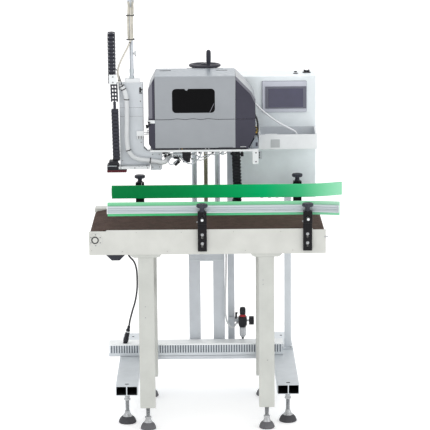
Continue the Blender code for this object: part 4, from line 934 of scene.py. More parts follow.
def lid():
    """The hood in three sheets: a silver cover over the front and roof between two slate cheeks."""
    seam = SEAM + 0.0014
    top_right = 0.1272
    outline = [(LEFT, HOOD_TOP), *scallops(seam), (top_right, HOOD_TOP)]
    cover = Shape(SILVER, DARK_SHADE_AND_PRINT, SLATE, ROOF_SHADE)
    cover.prism(
        outline, "XZ", FRONT, REAR, 0, 0.012,
        lambda e: above(e, 1.485) and all(v.co.y < FRONT + 0.001 for v in e.verts), 8)
    # Upward faces take the darker copy of the silver: painted shade.
    cover.paint(3, lambda c, n: n.z > 0.93)
    cover.drop(lambda c, n: n.z < -0.5 or n.y > 0.5 or abs(n.x) > 0.9)
    cover.thicken(SHEET)
    window = opening((-0.1472, 1.331), (0.0378, 1.436), 0.0165, 8, "XZ", FRONT - 0.02, FRONT + 0.02)
    slots = [opening((x, 0.4965), (x + 0.052, 0.5135), 0.006, 6, "XY", 1.47, 1.5) for x in (-0.2056, 0.043)]
    cover.cut(window, *slots)
    cover.done("hood_cover", "lid", "printer_lid", "printer_silver")
    cheek = Shape(SLATE, SLATE_LIGHT, DARK_SHADE_AND_PRINT, SILVER)
    left = [(LEFT - 0.0008, 1.4882), (-0.25, 1.437), (-0.25, seam), (LEFT - 0.0008, seam)]
    right = [(RIGHT + 0.0008, seam), (0.2125, seam), (0.2125, 1.39), (0.196, 1.4205),
        (top_right + 0.0008, 1.4892)]
    for points, inner in ((left, 1), (right, -1)):
        form = Shape(SLATE, SLATE_LIGHT, DARK_SHADE_AND_PRINT, SILVER)
        form.prism(points, "XZ", FRONT + 0.0004, REAR, 0, 0.003, lambda e: above(e, SEAM + 0.002) or tilted(e),
            3)
        form.drop(lambda c, n: n.z < -0.5 or n.y > 0.5 or n.x * inner > 0.9)
        form.thicken(SHEET)
        form.paint(3, lambda c, n: n.z > 0.25 and c.z > 1.385)
        cheek.take(form.bm, None)
    cheek.prism([(-0.2486, 1.435), (-0.2486, 1.308), (-0.233, 1.308), (-0.233, 1.464)], "XZ", FRONT - 0.0008,
        FRONT + 0.001, 1, 0.0004)
    shoulder = [(0.1285, 1.4872), (0.195, 1.4198), (0.2105, 1.3905), (0.2105, 1.372), (0.207, 1.378),
        (0.1918, 1.41), (0.1275, 1.4742)]
    cheek.prism(shoulder, "XZ", FRONT - 0.0012, FRONT + 0.001, 1, 0.0005)
    cheek.done("hood_cheeks", "lid", slot="printer_slate")
    pane = Shape(SMOKE)
    pane.prism(rounded((-0.1468, 1.3314), (0.0374, 1.4356), 0.0162, 8), "XZ", FRONT + 0.0006, FRONT + 0.0026, 0,
        0.0003)
    pane.done("hood_window", "lid", "lid_window", "smoked_window")
    trim = Shape(BLACK, SILVER, ZINC, SLATE_LIGHT)
    border = rounded((-0.149, 1.3292), (0.0396, 1.4378), 0.0183, 8)
    inner = rounded((-0.144, 1.3342), (0.0346, 1.4328), 0.0135, 8)
    band(trim, "XZ", border, inner, FRONT + 0.003, FRONT + 0.005, 0)
    clip = [(-0.097, 1.4378), (-0.092, 1.4345), *arc((-0.085, 1.4345), 0.0062, 205, 335, 6), (-0.078, 1.4345),
        (-0.073, 1.4378)]
    trim.prism(clip, "XZ", FRONT - 0.0004, FRONT + 0.0008, 1, 0.0003)
    trim.boxes(
        ((-0.15, REAR - 0.0016, 1.482), (-0.11, REAR + 0.001, 1.4895), 2, 0.0005),
        ((0.06, REAR - 0.0016, 1.482), (0.1, REAR + 0.001, 1.4895), 2, 0.0005),
        ((LEFT + 0.004, REAR - 0.08, 1.469), (RIGHT - 0.004, REAR - 0.058, 1.4705)))
    lean = Matrix.Rotation(math.radians(26), 4, "Y")
    trim.turned_box((0.024, FRONT + 0.0006, 1.3512), (0.0024, 0.001, 0.044), lean, 3, 0.0003)
    trim.done("hood_window_frame", "lid", slot="black_plastic")


def tub():
    """The lower half: dark tub with a back wall, silver front cover, base strip, peel bar and thumb knobs."""
    seam = SEAM - 0.0004
    hull = [(-0.25, seam), (-0.25, 1.196), (-0.233, 1.1697), (0.178, 1.1697), (0.2125, 1.236), (0.2125, seam)]
    body = Shape(SLATE, DARK_SHADE_AND_PRINT, BLACK)
    body.prism(hull, "XZ", FRONT + 0.001, REAR, 0, 0.002,
        lambda e: all(v.co.z < seam - 0.001 for v in e.verts) or tilted(e))
    body.drop(lambda c, n: n.z > 0.5 and c.z > seam - 0.003)
    body.thicken(0.003)
    slot = Shape().box((-0.28, FRONT + 0.045, 1.268), (-0.22, FRONT + 0.185, 1.286), 1, 0)
    body.cut(slot)
    wall = [(-0.2455, seam - 0.002), (-0.2455, 1.433), (-0.219, 1.485), (0.127, 1.485), (0.1925, 1.418),
        (0.208, 1.388), (0.208, seam - 0.002)]
    body.prism(wall, "XZ", REAR - 0.0078, REAR - 0.0002, 0, 0.0008)
    body.box((-0.222, 0.345, 1.2552), (-0.18, REAR - 0.008, 1.2988), 2, 0.0015)
    body.done("printer_tub", "lift", "printer_chassis", "printer_slate")
    front = Shape(SILVER)
    low = 1.1777
    edge = [(LEFT, low), (RIGHT, low), *reversed(scallops(seam - 0.0004))]
    front.prism(edge, "XZ", FRONT, FRONT + 0.0028, 0, 0.0007,
        lambda e: all(v.co.y < FRONT + 0.001 for v in e.verts))
    front.done("lower_cover", "lift", slot="printer_silver")
    small = Shape(BLACK, ZINC, BRASS, HOSE)
    small.box((LEFT - 0.004, FRONT + 0.0006, 1.17), (RIGHT + 0.048, FRONT + 0.005, 1.177), 0, 0.0008)
    for x, mat in ((-0.118, 1), (-0.106, 2), (-0.004, 1), (0.01, 1), (-0.06, 0), (0.06, 0)):
        small.rod((x, FRONT + 0.001, 1.1738), TOWARD, 0.003, 0.0022, mat, 12)
    small.boxes(
        ((-0.09, FRONT - 0.0006, 1.1714), (-0.02, FRONT + 0.001, 1.1756)),
        # Thin light bar on the lower cover's right: painted highlight.
        ((0.146, FRONT + 0.0002, 1.18), (0.172, FRONT + 0.0014, 1.1822), 3, 0.0004),
        ((0.052, FRONT - 0.0006, 1.179), (0.114, FRONT + 0.0004, 1.1802), 0, 0.0002))
    small.done("tub_base_strip", "lift", slot="black_plastic")
    peel = Shape(WHITE, ZINC, BLACK)
    peel.box((-0.2512, FRONT - 0.0002, 1.2862), (LEFT - 0.0006, FRONT + 0.004, 1.3004), 0, 0.0012)
    peel.box((-0.256, FRONT + 0.04, 1.2868), (-0.249, FRONT + 0.19, 1.29), 1, 0.0008)
    peel.rods(
        ((-0.248, 0.325, 1.2715), (-1, 0, -0.18), 0.01, 0.0062, 2, 18, 0.001),
        ((-0.2545, 0.325, 1.27), (-1, 0, -0.18), 0.0075, 0.0084, 2, 12, 0.001),
        ((-0.2482, 0.296, 1.278), UP, 0.015, 0.0036, 2, 14, 0.0008),
        ((-0.2482, 0.296, 1.289), UP, 0.005, 0.0052, 2, 8, 0.0008))
    peel.box((-0.25, 0.296, 1.277), (-0.2465, 0.304, 1.281), 2, 0.0006)
    for z in (1.25, 1.243, 1.236):
        peel.rod((-0.2492, 0.33, z), (-1, 0, 0), 0.009, 0.0018, 1, 14, 0.0004)
        peel.rod((-0.255, 0.33, z), (-1, 0, 0), 0.003, 0.003, 1, 6, 0.0004)
    peel.done("peel_bar", "lift", slot="white_powder_coat")
    back = Shape(BLACK, ZINC, DARK_SHADE_AND_PRINT)
    back.box((0.045, REAR - 0.0004, 1.2), (0.165, REAR + 0.003, 1.255), 0, 0.001)
    for i in range(5):
        x = 0.052 + i * 0.0225
        back.box((x, REAR + 0.0026, 1.214), (x + 0.015, REAR + 0.0046, 1.242), 2 if i % 2 else 1, 0.0006)
    back.rod((0.17, REAR - 0.001, 1.362), AWAY, 0.004, 0.0085, 1, 6)
    # The vent slots are dark strips on the panel: painted shade.
    for i in range(9):
        back.box((-0.2, REAR - 0.0006, 1.33 + i * 0.01), (-0.12, REAR + 0.001, 1.3345 + i * 0.01), 2, 0.0004)
    for x in (-0.235, 0.198):
        for z in (1.2 if x < 0 else 1.25, 1.29, 1.38):
            back.bolt((x, REAR, z), AWAY, 0.0035, 1, 2, "pan")
    back.done("tub_back_panel", "lift", slot="black_plastic")


def printer_inside():
    wall = REAR - 0.0082
    roll = Shape(PAPER, SLATE, BLACK)
    x, z, r = 0.085, 1.29, 0.085
    roll.lathe([(0.038, 0.345), (r - 0.0008, 0.345), (r, 0.3458), (r, 0.4542), (r - 0.0008, 0.455),
        (0.038, 0.455)], (x, 0, z), AWAY, 0, 72)
    roll.lathe([(0, 0.3395), (0.01, 0.3395), (0.011, 0.3405), (0.011, 0.343), (0.036, 0.3436), (0.0372, 0.346),
        (0.0372, 0.455), (0.01, 0.457), (0.01, wall), (0, wall)], (x, 0, z), AWAY, 2, 40)
    roll.done("media_roll", "roll", "label_roll", "label_paper")
    wind = Shape(BLACK, PAPER)
    wind.lathe([(0, 0.3395), (0.0125, 0.3395), (0.013, 0.345), (0.013, 0.456), (0.01, 0.457), (0.01, wall),
        (0, wall)], (-0.12, 0, 1.385), AWAY, 0, 32)
    wind.lathe([(0.0128, 0.346), (0.0318, 0.346), (0.0318, 0.454), (0.0128, 0.454)], (-0.12, 0, 1.385), AWAY, 1,
        48)
    wind.done("liner_winder", "rewind", "liner_rewind", "black_plastic")
    platen = Shape(RUBBER, ZINC)
    platen.lathe([(0.0051, 0.346), (0.0126, 0.346), (0.013, 0.3465), (0.013, 0.4545), (0.0126, 0.455),
        (0.0051, 0.455)], (-0.205, 0, 1.235), AWAY, 0, 36)
    platen.lathe([(0, 0.3395), (0.0046, 0.3395), (0.0052, 0.34), (0.0052, wall), (0, wall)], (-0.205, 0, 1.235),
        AWAY, 1, 24)
    platen.done("platen", "platen", "platen_roller", "platen_rubber")
    web = Shape(PAPER, ZINC)
    web.rod((-0.165, 0.343, 1.33), AWAY, wall - 0.343, 0.006, 1)
    web.rod((-0.02, 0.343, 1.248), AWAY, wall - 0.343, 0.006, 1)
    web.box((-0.24, 0.35, 1.2495), (-0.026, 0.45, 1.25), 0, 0)
    web.done("label_web", "lift", slot="label_paper")


def right_of_printer():
    """Leads and fittings in the gap between the printer and the cabinet."""
    wires = Shape(CABLE, YELLOW, BRASS)
    wires.tube(((0.211, 0.453, 1.304), (0.2162, 0.454, 1.293), (0.2232, 0.455, 1.276), (0.2268, 0.455, 1.254),
        (0.2272, 0.455, 1.232), (0.224, 0.455, 1.214), (0.219, 0.455, 1.202)), 0.004, 0, 12)
    wires.tube(((0.211, 0.449, 1.256), (0.216, 0.45, 1.248), (0.2215, 0.45, 1.24), (0.2225, 0.45, 1.224),
        (0.218, 0.45, 1.21)), 0.0016, 1, 10)
    wires.rods(
        ((0.211, 0.4495, 1.244), (1, 0, -0.3), 0.011, 0.0034, 0, 6),
        ((0.211, 0.444, 1.229), (1, 0, 0.3), 0.012, 0.0032, 0, 12),
        ((0.211, 0.4495, 1.22), (1, 0, -0.1), 0.013, 0.0036, 2, 6),
        ((0.211, 0.448, 1.211), (1, 0, 0.1), 0.012, 0.004, 0, 10),
        ((0.219, 0.455, 1.226), DOWN, 0.02, 0.005, 0, 16))
    wires.done("printer_side_leads", "lift", slot="black_plastic")


# ---- applicator ---------------------------------------------------------------------------------
POLE_X, POLE_Y = -0.321, 0.355


def column():
    body = Shape(GREY, DARK_SHADE_AND_PRINT, ZINC, BLACK, WHITE)
    outline = [(-0.3757, 1.1005), (-0.3757, 1.4585), (-0.2733, 1.4585), (-0.2733, 1.176), (-0.258, 1.16),
        (-0.1945, 1.16), (-0.1945, 1.082), (-0.2, 1.077), (-0.244, 1.077), (-0.244, 1.1005)]
    body.prism(outline, "XZ", 0.33, 0.38, 0, 0.0016)
    body.cut(
        Shape().box((-0.3717, 0.334, 1.05), (-0.2773, 0.376, 1.4545), 1, 0),
        opening((-0.2885, 1.419), (-0.281, 1.441), 0.0015, 3, "XZ", 0.31, 0.3312))
    body.box((-0.3757, 0.3292, 1.101), (-0.3737, 0.331, 1.458), 0, 0.0003)
    body.box((-0.356, 0.3291, 1.45), (-0.2745, 0.3304, 1.458), 0, 0.0004)
    for z in (1.352, 1.314):
        body.box((-0.3735, 0.3296, z), (-0.2745, 0.3303, z + 0.0007), 1, 0)
    for x, z in ((-0.2855, 1.435), (-0.2855, 1.424), (-0.2775, 1.43)):
        body.rod((x, 0.331, z), TOWARD, 0.0058, 0.0032, 3, 14)
    body.box((-0.289, 0.3255, 1.414), (-0.2765, 0.3302, 1.4175), 3, 0.0008)
    for x, z in ((-0.366, 1.43), (-0.366, 1.12), (-0.284, 1.38), (-0.284, 1.2), (-0.235, 1.146),
            (-0.206, 1.146), (-0.235, 1.09), (-0.206, 1.09)):
        body.bolt((x, 0.33, z), TOWARD, 0.0032, 2, 1, "pan")
        body.bolt((x, 0.38, z), AWAY, 0.0032, 2, 1, "pan")
    body.box((-0.352, 0.336, 1.4575), (-0.286, 0.374, 1.4775), 4, 0.0012)
    body.done("applicator_case", "lift", "applicator_column", "grey_powder_coat")
    side = Shape(WHITE, ZINC, DARK_SHADE_AND_PRINT)
    side.box((-0.303, 0.3215, 1.229), (-0.2715, 0.33, 1.251), 0, 0.001)
    for x in (-0.299, -0.292, -0.285, -0.278):
        side.box((x - 0.0019, 0.3225, 1.215), (x + 0.0019, 0.3285, 1.2295), 0, 0.0004)
        side.rod((x, 0.3255, 1.2155), DOWN, 0.003, 0.0009, 1, 8)
    # Dark plate behind the terminals: painted shade in the gaps.
    side.box((-0.3015, 0.3286, 1.2155), (-0.2755, 0.3297, 1.2292), 2, 0)
    for z in (1.244, 1.236):
        side.rod((-0.272, 0.326, z), ALONG, 0.0145, 0.0016, 1, 12)
        side.rod((-0.264, 0.326, z), ALONG, 0.004, 0.0028, 1, 6)
    side.done("column_sensor_block", "lift", slot="white_powder_coat")
    ties = Shape(BLACK)
    for at, axis in (((-0.344, 0.315, 1.39), (0.05, 0, 1)), ((-0.3385, 0.315, 1.168), (-0.3, 0, 1)),
            ((-0.245, 0.315, 1.1214), (1, 0, -0.1)), ((-0.3645, 0.3177, 1.448), (-0.5, 0, 1)),
            ((-0.356, 0.3165, 1.434), (-0.5, 0, 1))):
        tie(ties, at, axis, 0.0105, 0)
    for at, axis in (((-0.3745, 0.3188, 1.473), (-0.25, 0.1, 1)), ((-0.326, 0.334, 1.634), (0.3, 0, 1))):
        tie(ties, at, axis, 0.004, 0, 0.003)
    ties.tube(((-0.39, 0.352, 1.52), (-0.383, 0.335, 1.512), (-0.376, 0.322, 1.496), (-0.37, 0.312, 1.48),
        (-0.364, 0.3085, 1.462), (-0.36, 0.3075, 1.446)), 0.0018, 0, 8, 0.004)
    ties.done("applicator_hose_ties", "lift", slot="black_plastic")


def cylinder():
    """The slim cylinder on the column, with end caps, a flow control and leads tied along its top."""
    x, y = POLE_X, POLE_Y
    pole = Shape(CHROME, ALUMINIUM, ZINC, BLACK, HOSE)
    pole.rod((x, y, 1.4778), UP, 0.01, 0.0105, 1, 6, 0.0008)
    pole.rod((x, y, 1.4878), UP, 0.3022, 0.0082, 0, 32, 0.0006)
    pole.lathe([(0, 1.498), (0.0092, 1.498), (0.0096, 1.499), (0.0096, 1.516), (0.0088, 1.518), (0, 1.518)],
        (x, y, 0), mat=1)
    for z in (1.742, 1.786):
        pole.lathe([(0, z), (0.009, z), (0.0094, z + 0.001), (0.0094, z + 0.007), (0.009, z + 0.008),
            (0, z + 0.008)], (x, y, 0), mat=1)
    pole.rods(
        ((x + 0.006, y, 1.585), ALONG, 0.008, 0.004, 2, 6),
        ((x + 0.0125, y, 1.585), ALONG, 0.0085, 0.0082, 4, 20),
        ((x + 0.017, y, 1.5875), UP, 0.008, 0.0034, 4, 12),
        ((x + 0.018, y, 1.578), DOWN, 0.006, 0.003, 2, 12))
    pole.lathe([(0, 1.794), (0.01, 1.794), (0.011, 1.795), (0.011, 1.806), (0.0096, 1.808), (0.0096, 1.815),
        (0.008, 1.817), (0, 1.817)], (x, y, 0), mat=1, steps=24)
    pole.done("stroke_cylinder", "lift", "air_cylinder", "hard_chrome")
    loom = Shape(BUNDLE, BLACK, HOSE)
    for side in (-1, 1):
        sleeve = [(x - 0.002 + side * 0.0066, y - 0.018, 1.644), (x - 0.002 + side * 0.008, y - 0.019, 1.655),
            (x - 0.003 + side * 0.008, y - 0.019, 1.72), (x + side * 0.009, y - 0.018, 1.772),
            (x + side * 0.008, y - 0.014, 1.796), (x + side * 0.01, y - 0.01, 1.808)]
        loom.tube(sleeve, 0.0047, 0, 14, 0.008)
    for z in (1.6455, 1.749):
        outer = rounded((x - 0.015, y - 0.025), (x + 0.015, y + 0.01), 0.006, 5)
        inner = rounded((x - 0.0138, y - 0.0238), (x + 0.0138, y + 0.0088), 0.005, 5)
        band(loom, "XY", outer, inner, z, z + 0.0036, 1)
        loom.box((x - 0.02, y - 0.0262, z - 0.0006), (x - 0.013, y - 0.0212, z + 0.0042), 1, 0.0006)
    for sx, sy, top in ((-0.015, -0.004, 1.829), (-0.005, -0.012, 1.83), (0.006, -0.008, 1.83),
            (0.015, -0.004, 1.827)):
        loom.tube(((x + sx * 0.5, y + sy, 1.801), (x + sx * 0.8, y + sy, 1.813),
            (x + sx, y + sy, top - 0.0025)), 0.002, 2 if sx < 0 else 0, 8, 0.004)
        loom.rod((x + sx * 0.62, y + sy, 1.805), (sx, 0, 0.02), 0.008, 0.0032, 2, 10)
    loom.done("pole_loom", "lift", slot="cream_cable")


def tamp():
    head = Shape(ALUMINIUM, DARK_SHADE_AND_PRINT, ZINC, BLACK, WHITE)
    head.box((-0.382, 0.29, 1.0888), (-0.2476, 0.372, 1.0988), 4, 0.001)
    for offset in (-0.028, 0.028):
        head.rod((POLE_X + offset, POLE_Y, 1.095), UP, 0.3, 0.005, 2, 20)
        head.rod((POLE_X + offset, POLE_Y, 1.0985), UP, 0.006, 0.0085)
    head.boxes(
        ((-0.4318, 0.29, 1.0888), (-0.3812, 0.35, 1.108), 3, 0.0014),
        ((-0.424, 0.293, 1.1078), (-0.385, 0.347, 1.1232), 3, 0.002),
        ((-0.4322, 0.2893, 1.1018), (-0.39, 0.2903, 1.104), 0, 0.0002))
    clip = [(-0.296, 1.1), (-0.2915, 1.1), (-0.287, 1.093), (-0.2825, 1.1), (-0.278, 1.1), (-0.2855, 1.0895),
        (-0.2885, 1.0895)]
    head.prism(clip, "XZ", 0.288, 0.2905, 3, 0.0003)
    head.box((-0.302, 0.287, 1.089), (-0.27, 0.2902, 1.099), 4, 0.0008)
    for x in (-0.372, -0.312, -0.256):
        head.bolt((x, 0.29, 1.0938), TOWARD, 0.003, 2, 1, "pan")
    for x in (-0.37, -0.26):
        for y in (0.302, 0.362):
            head.bolt((x, y, 1.0988), UP, 0.0035, 2, 1, "cap")
    head.done("tamp_plate", "tamp", "tamp_head", "white_powder_coat")
    pad = Shape(MAROON, BLACK)
    pad.box((-0.4323, 0.288, 1.0745), (-0.3477, 0.374, 1.085), 0, 0.0022, 3)
    pad.box((-0.4316, 0.289, 1.0848), (-0.3485, 0.373, 1.0885 - GAP), 1, 0.0006)
    pad.done("tamp_sponge", "tamp", "tamp_pad", "maroon_pad")


def chain_link(shape, centre, along, out, wide, thick, length, mat, style):
    """One link of a cable chain: side plates, cross bars, pin bosses. out is the way its outer face looks."""
    along, out = Vector(along).normalized(), Vector(out).normalized()
    across = along.cross(out)
    turn = Matrix((across, out, along)).transposed().to_4x4()

    def part(u, v, w, su, sv, sw, edge=0.0006):
        shape.turned_box(Vector(centre) + across * u + out * v + along * w, (su, sv, sw), turn, mat, edge)

    half, deep = wide / 2, thick / 2
    if style == "solid":
        part(0, 0, 0, wide * 0.84, thick * 0.52, length * 1.04)
    if style == "narrow":
        part(0, 0, 0, wide * 0.4, thick * 0.8, length * 0.98)
        return
    for sign in (-1, 1):
        part(sign * (half - 0.0016), 0, 0, 0.0032, thick, length * 0.92)
        part(sign * (half - 0.0002), 0, -length * 0.28, 0.002, thick * 0.62, length * 0.42)
        part(sign * (half - 0.0046), 0, length * 0.38, 0.0028, thick * 0.72, length * 0.5)
    if style == "open":
        for sign in (-1, 1):
            part(0, sign * (deep - 0.0012), 0, wide - 0.003, 0.0024, length * 0.36)
            part(sign * (half - 0.003), 0, 0, 0.006, thick * 0.8, length * 0.98)
        part(0, 0, 0, 0.0056, thick * 0.9, length * 0.98)
    else:
        for sign in (-1, 1):
            part(0, sign * (deep - 0.0012), -length * 0.1, wide - 0.003, 0.0024, length * 0.66, 0.0008)
            part(0, sign * (deep + 0.0001), -length * 0.1, wide * 0.42, 0.0022, length * 0.3, 0.0006)


CHAIN_X = -0.401


def chains():
    y0, y1, top, half = 0.316, 0.364, 1.681, 0.01
    radius = (y1 - y0) / 2
    middle = top - radius - half
    pitch = 0.015
    line = [Vector((CHAIN_X, y0, 1.13 + i * 0.001)) for i in range(int((middle - 1.13) / 0.001))]
    line += [Vector((CHAIN_X, y0 + radius - radius * math.cos(math.radians(a)),
        middle + radius * math.sin(math.radians(a)))) for a in range(0, 181, 3)]
    line += [Vector((CHAIN_X, y1, middle - i * 0.001)) for i in range(1, int((middle - 1.49) / 0.001))]
    chain = Shape(MOULD, ZINC)
    gone, last = 0.0, -0.01
    for i, (a, b) in enumerate(zip(line, line[1:])):
        gone += (b - a).length
        if gone - last < pitch:
            continue
        last = gone
        ahead = (line[min(i + 4, len(line) - 1)] - line[max(i - 4, 0)]).normalized()
        out = Vector((0, -ahead.z, ahead.y))
        if b.z < 1.465:
            b = b + Vector((0.0095 - 0.006 * (b.z - 1.13) / 0.335, 0, 0))
        else:
            b = b + Vector((-0.005, 0, 0))
        front_strand = b.y < y0 + 0.001
        style = "solid"
        if front_strand and 1.352 < b.z < 1.378:
            style = "narrow"
        elif front_strand and 1.378 <= b.z < 1.462:
            style = "open"
        chain_link(chain, b, ahead, out, 0.03, 0.0195, pitch, 0, style)
        if b.z > 1.49:
            for across in (-0.0105, 0.0105):
                chain.rod(b + out * 0.0096 + Vector((across, 0, 0)), out, 0.0008, 0.0022, 1, 10, 0.0002)
    chain.done("applicator_cable_chain", ("lift", "tamp"), "applicator_chain", "black_plastic",
        blend=(1.681, 1.125))
    low = Shape(BLACK)
    low.box((-0.408, 0.306, 1.1234), (-0.3768, 0.326, 1.133), 0, 0.0015)
    low.done("chain_tamp_end", "tamp", slot="black_plastic")
    mount = Shape(WHITE, ZINC, DARK_SHADE_AND_PRINT)
    mount.boxes(
        ((-0.4175, 0.35, 1.456), (-0.376, 0.377, 1.459)),
        ((-0.4175, 0.35, 1.456), (-0.4145, 0.377, 1.4985)),
        ((-0.379, 0.335, 1.43), (-0.3758, 0.377, 1.4985)),
        ((-0.418, 0.304, 1.458), (-0.385, 0.3056, 1.499), 0, 0.0004),
        ((-0.418, 0.304, 1.494), (-0.4163, 0.354, 1.499), 0, 0.0004),
        ((-0.3867, 0.304, 1.494), (-0.385, 0.354, 1.499), 0, 0.0004))
    for z in (1.466, 1.49):
        mount.bolt((CHAIN_X, 0.304, z), TOWARD, 0.0036, 1, 2, "pan")
    mount.done("chain_bracket", "lift", slot="white_powder_coat")
    lift = Shape(BLACK)
    spine = [((x0 + x1) / 2, z) for (x0, x1), z in (((0.111, 0.148), 0.8793), ((0.118, 0.156), 0.94),
        ((0.113, 0.153), 1.01), ((0.11, 0.148), 1.1597))]
    points = smooth_route([(x, 0.515, z) for x, z in spine], 0.002)
    gone, last = 0.0, -0.008
    for i, (a, b) in enumerate(zip(points, points[1:])):
        gone += (b - a).length
        if gone - last < 0.014 or b.z > 1.153 or b.z < 0.905:
            continue
        last = gone
        ahead = (b - a).normalized()
        chain_link(lift, b, ahead, TOWARD, 0.035, 0.029, 0.014, 0, "solid")
        lift.turned_box(b + Vector((0.018, 0, -0.001)), (0.0052, 0.024, 0.0062), Matrix.Rotation(0.5, 4, "Y"),
            0, 0.0008)
    lift.done("lift_cable_chain", ("frame", "lift"), "lift_chain", "black_plastic", blend=(0.89, 1.15))
    ends = Shape(BLACK, ZINC, DARK_SHADE_AND_PRINT)
    ends.box((0.113, 0.5005, 0.8796), (0.15, 0.5295, 0.908), 0, 0.002)
    ends.prism([(0.148, 0.8796), (0.172, 0.885), (0.174, 0.893), (0.166, 0.896), (0.148, 0.892)], "XZ", 0.504,
        0.526, 0, 0.0012)
    ends.bolt((0.13, 0.5005, 0.893), TOWARD, 0.004, 1, 2, "pan")
    ends.done("lift_chain_foot", "frame", slot="black_plastic")
    high = Shape(BLACK)
    high.box((0.1115, 0.5005, 1.148), (0.148, 0.5295, 1.16), 0, 0.0015)
    high.box((0.136, 0.47, 1.144), (0.16, 0.5, 1.1602), 0, 0.0015)
    high.done("lift_chain_head", "lift", slot="black_plastic")


def valves():
    """Solenoid valve, small regulator and the tangle of thin air lines under the printer deck."""
    block = Shape(BLACK, ZINC, HOSE, DARK_SHADE_AND_PRINT, ALUMINIUM)
    block.box((-0.107, 0.345, 1.124), (-0.0685, 0.385, 1.16), 0, 0.0015)
    block.box((-0.104, 0.347, 1.106), (-0.072, 0.383, 1.125), 0, 0.0025)
    for z in (1.13, 1.138, 1.146):
        block.box((-0.105, 0.344, z), (-0.0705, 0.3462, z + 0.003), 3, 0.0005)
    block.box((-0.148, 0.345, 1.1255), (-0.1055, 0.378, 1.147), 4, 0.0012)
    for x in (-0.14, -0.129, -0.117):
        block.rod((x, 0.3455, 1.136), TOWARD, 0.008, 0.0038, 1, 6)
        block.rod((x, 0.3385, 1.136), TOWARD, 0.003, 0.0028, 2 if x > -0.12 else 0, 14)
    block.rods(
        ((-0.115, 0.36, 1.118), (-0.75, 0, -0.66), 0.012, 0.006, 1, 20),
        ((-0.122, 0.36, 1.112), (-0.75, 0, -0.66), 0.025, 0.0095, 0, 24, 0.001),
        ((-0.144, 0.34, 1.129), (1, 0, -0.1), 0.024, 0.0048, 0, 16, 0.001),
        ((-0.0685, 0.36, 1.14), ALONG, 0.009, 0.004, 1, 6),
        ((-0.0685, 0.372, 1.118), ALONG, 0.008, 0.0036, 2, 14))
    block.done("valve_group", "lift", "valve_block", "black_plastic")
    lines = Shape(CLEAR, HOSE, BLACK, ZINC, PALE)
    routes = (((-0.06, 0.36, 1.14), (-0.046, 0.35, 1.139), (-0.03, 0.335, 1.131), (-0.008, 0.33, 1.136),
        (0.014, 0.335, 1.144), (0.04, 0.345, 1.14), (0.064, 0.352, 1.146), (0.08, 0.362, LINE_END)),
        ((-0.06, 0.372, 1.118), (-0.044, 0.368, 1.114), (-0.022, 0.35, 1.116), (0.0, 0.34, 1.128),
        (0.018, 0.345, 1.142), (0.034, 0.36, 1.152), (0.046, 0.37, LINE_END)),
        ((-0.14, 0.337, 1.136), (-0.147, 0.325, 1.136), (-0.16, 0.32, 1.128), (-0.166, 0.322, 1.112),
        (-0.156, 0.326, 1.101), (-0.14, 0.328, 1.106), (-0.128, 0.335, 1.121), (-0.12, 0.352, 1.127)),
        ((-0.129, 0.337, 1.136), (-0.132, 0.322, 1.14), (-0.146, 0.316, 1.149), (-0.164, 0.322, 1.152),
        (-0.18, 0.335, 1.147), (-0.192, 0.326, 1.136)),
        ((-0.117, 0.337, 1.136), (-0.112, 0.322, 1.13), (-0.094, 0.318, 1.114), (-0.072, 0.324, 1.104),
        (-0.052, 0.335, 1.108), (-0.036, 0.35, 1.122), (-0.024, 0.362, 1.142), (-0.02, 0.372, LINE_END)),
        ((0.04, 0.42, LINE_END), (0.046, 0.41, 1.146), (0.058, 0.4, 1.136), (0.074, 0.404, 1.132),
        (0.09, 0.42, 1.138), (0.098, 0.44, LINE_END)),)
    for index, route in enumerate(routes):
        lines.tube(route, 0.0021 if index % 2 else 0.0026, index % 2, 10, 0.004)
    for x, y, z in ((0.08, 0.362, 1.15), (0.046, 0.37, 1.15), (-0.02, 0.372, 1.15), (0.04, 0.42, 1.15),
            (0.098, 0.44, 1.15)):
        lines.rod((x, y, z), UP, 0.0104, 0.0042, 3, 6)
    for x, y in ((-0.178, 0.345), (-0.16, 0.352), (-0.052, 0.352), (0.0, 0.38), (0.02, 0.352), (0.064, 0.384),
            (0.12, 0.35)):
        lines.rod((x, y, 1.152), UP, 0.0084, 0.003, 2 if x < -0.1 else 3, 12)
    for x in (-0.187, -0.172):
        lines.box((x - 0.006, 0.333, 1.146), (x + 0.004, 0.35, INTO_DECK), 2, 0.0008)
    for x, z, wide, tall, mat in ((-0.186, 1.13, 0.012, 0.022, 2), (-0.168, 1.138, 0.009, 0.012, 2),
            (-0.052, 1.14, 0.01, 0.012, 3), (-0.036, 1.146, 0.01, 0.006, 2), (-0.008, 1.144, 0.01, 0.008, 3),
            (0.022, 1.146, 0.01, 0.006, 2), (0.044, 1.14, 0.01, 0.012, 4), (0.064, 1.138, 0.012, 0.014, 4)):
        lines.box((x, 0.338, z), (x + wide, 0.352, z + tall), mat, 0.0014)
        lines.rod((x + wide / 2, 0.345, z + tall - 0.001), UP, INTO_DECK - z - tall + 0.001, 0.0028, 3, 10)
    for x, z, wide, tall in ((0.104, 1.13, 0.026, 0.0085), (0.137, 1.12, 0.01, 0.015),
            (0.149, 1.123, 0.013, 0.017)):
        lines.box((x, 0.392, z), (x + wide, 0.41, z + tall), 2, 0.0018)
        lines.rod((x + wide / 2, 0.401, z + tall - 0.001), UP, INTO_DECK - z - tall + 0.001, 0.0036, 2, 12)
    lines.box((0.01, 0.346, 1.15), (0.03, 0.36, INTO_DECK), 1, 0.0008)
    lines.done("deck_air_lines", "lift", slot="white_hose")


# ---- cabinet ------------------------------------------------------------------------------------
LOW, HIGH = Vector((0.1225, 0.62, 0.8945)), Vector((0.4914, 0.83, 1.4462))
GLAND_X, GLAND_Y = (0.25, 0.285, 0.32), 0.7
BUTTON = (0.4045, 0.711, 0)


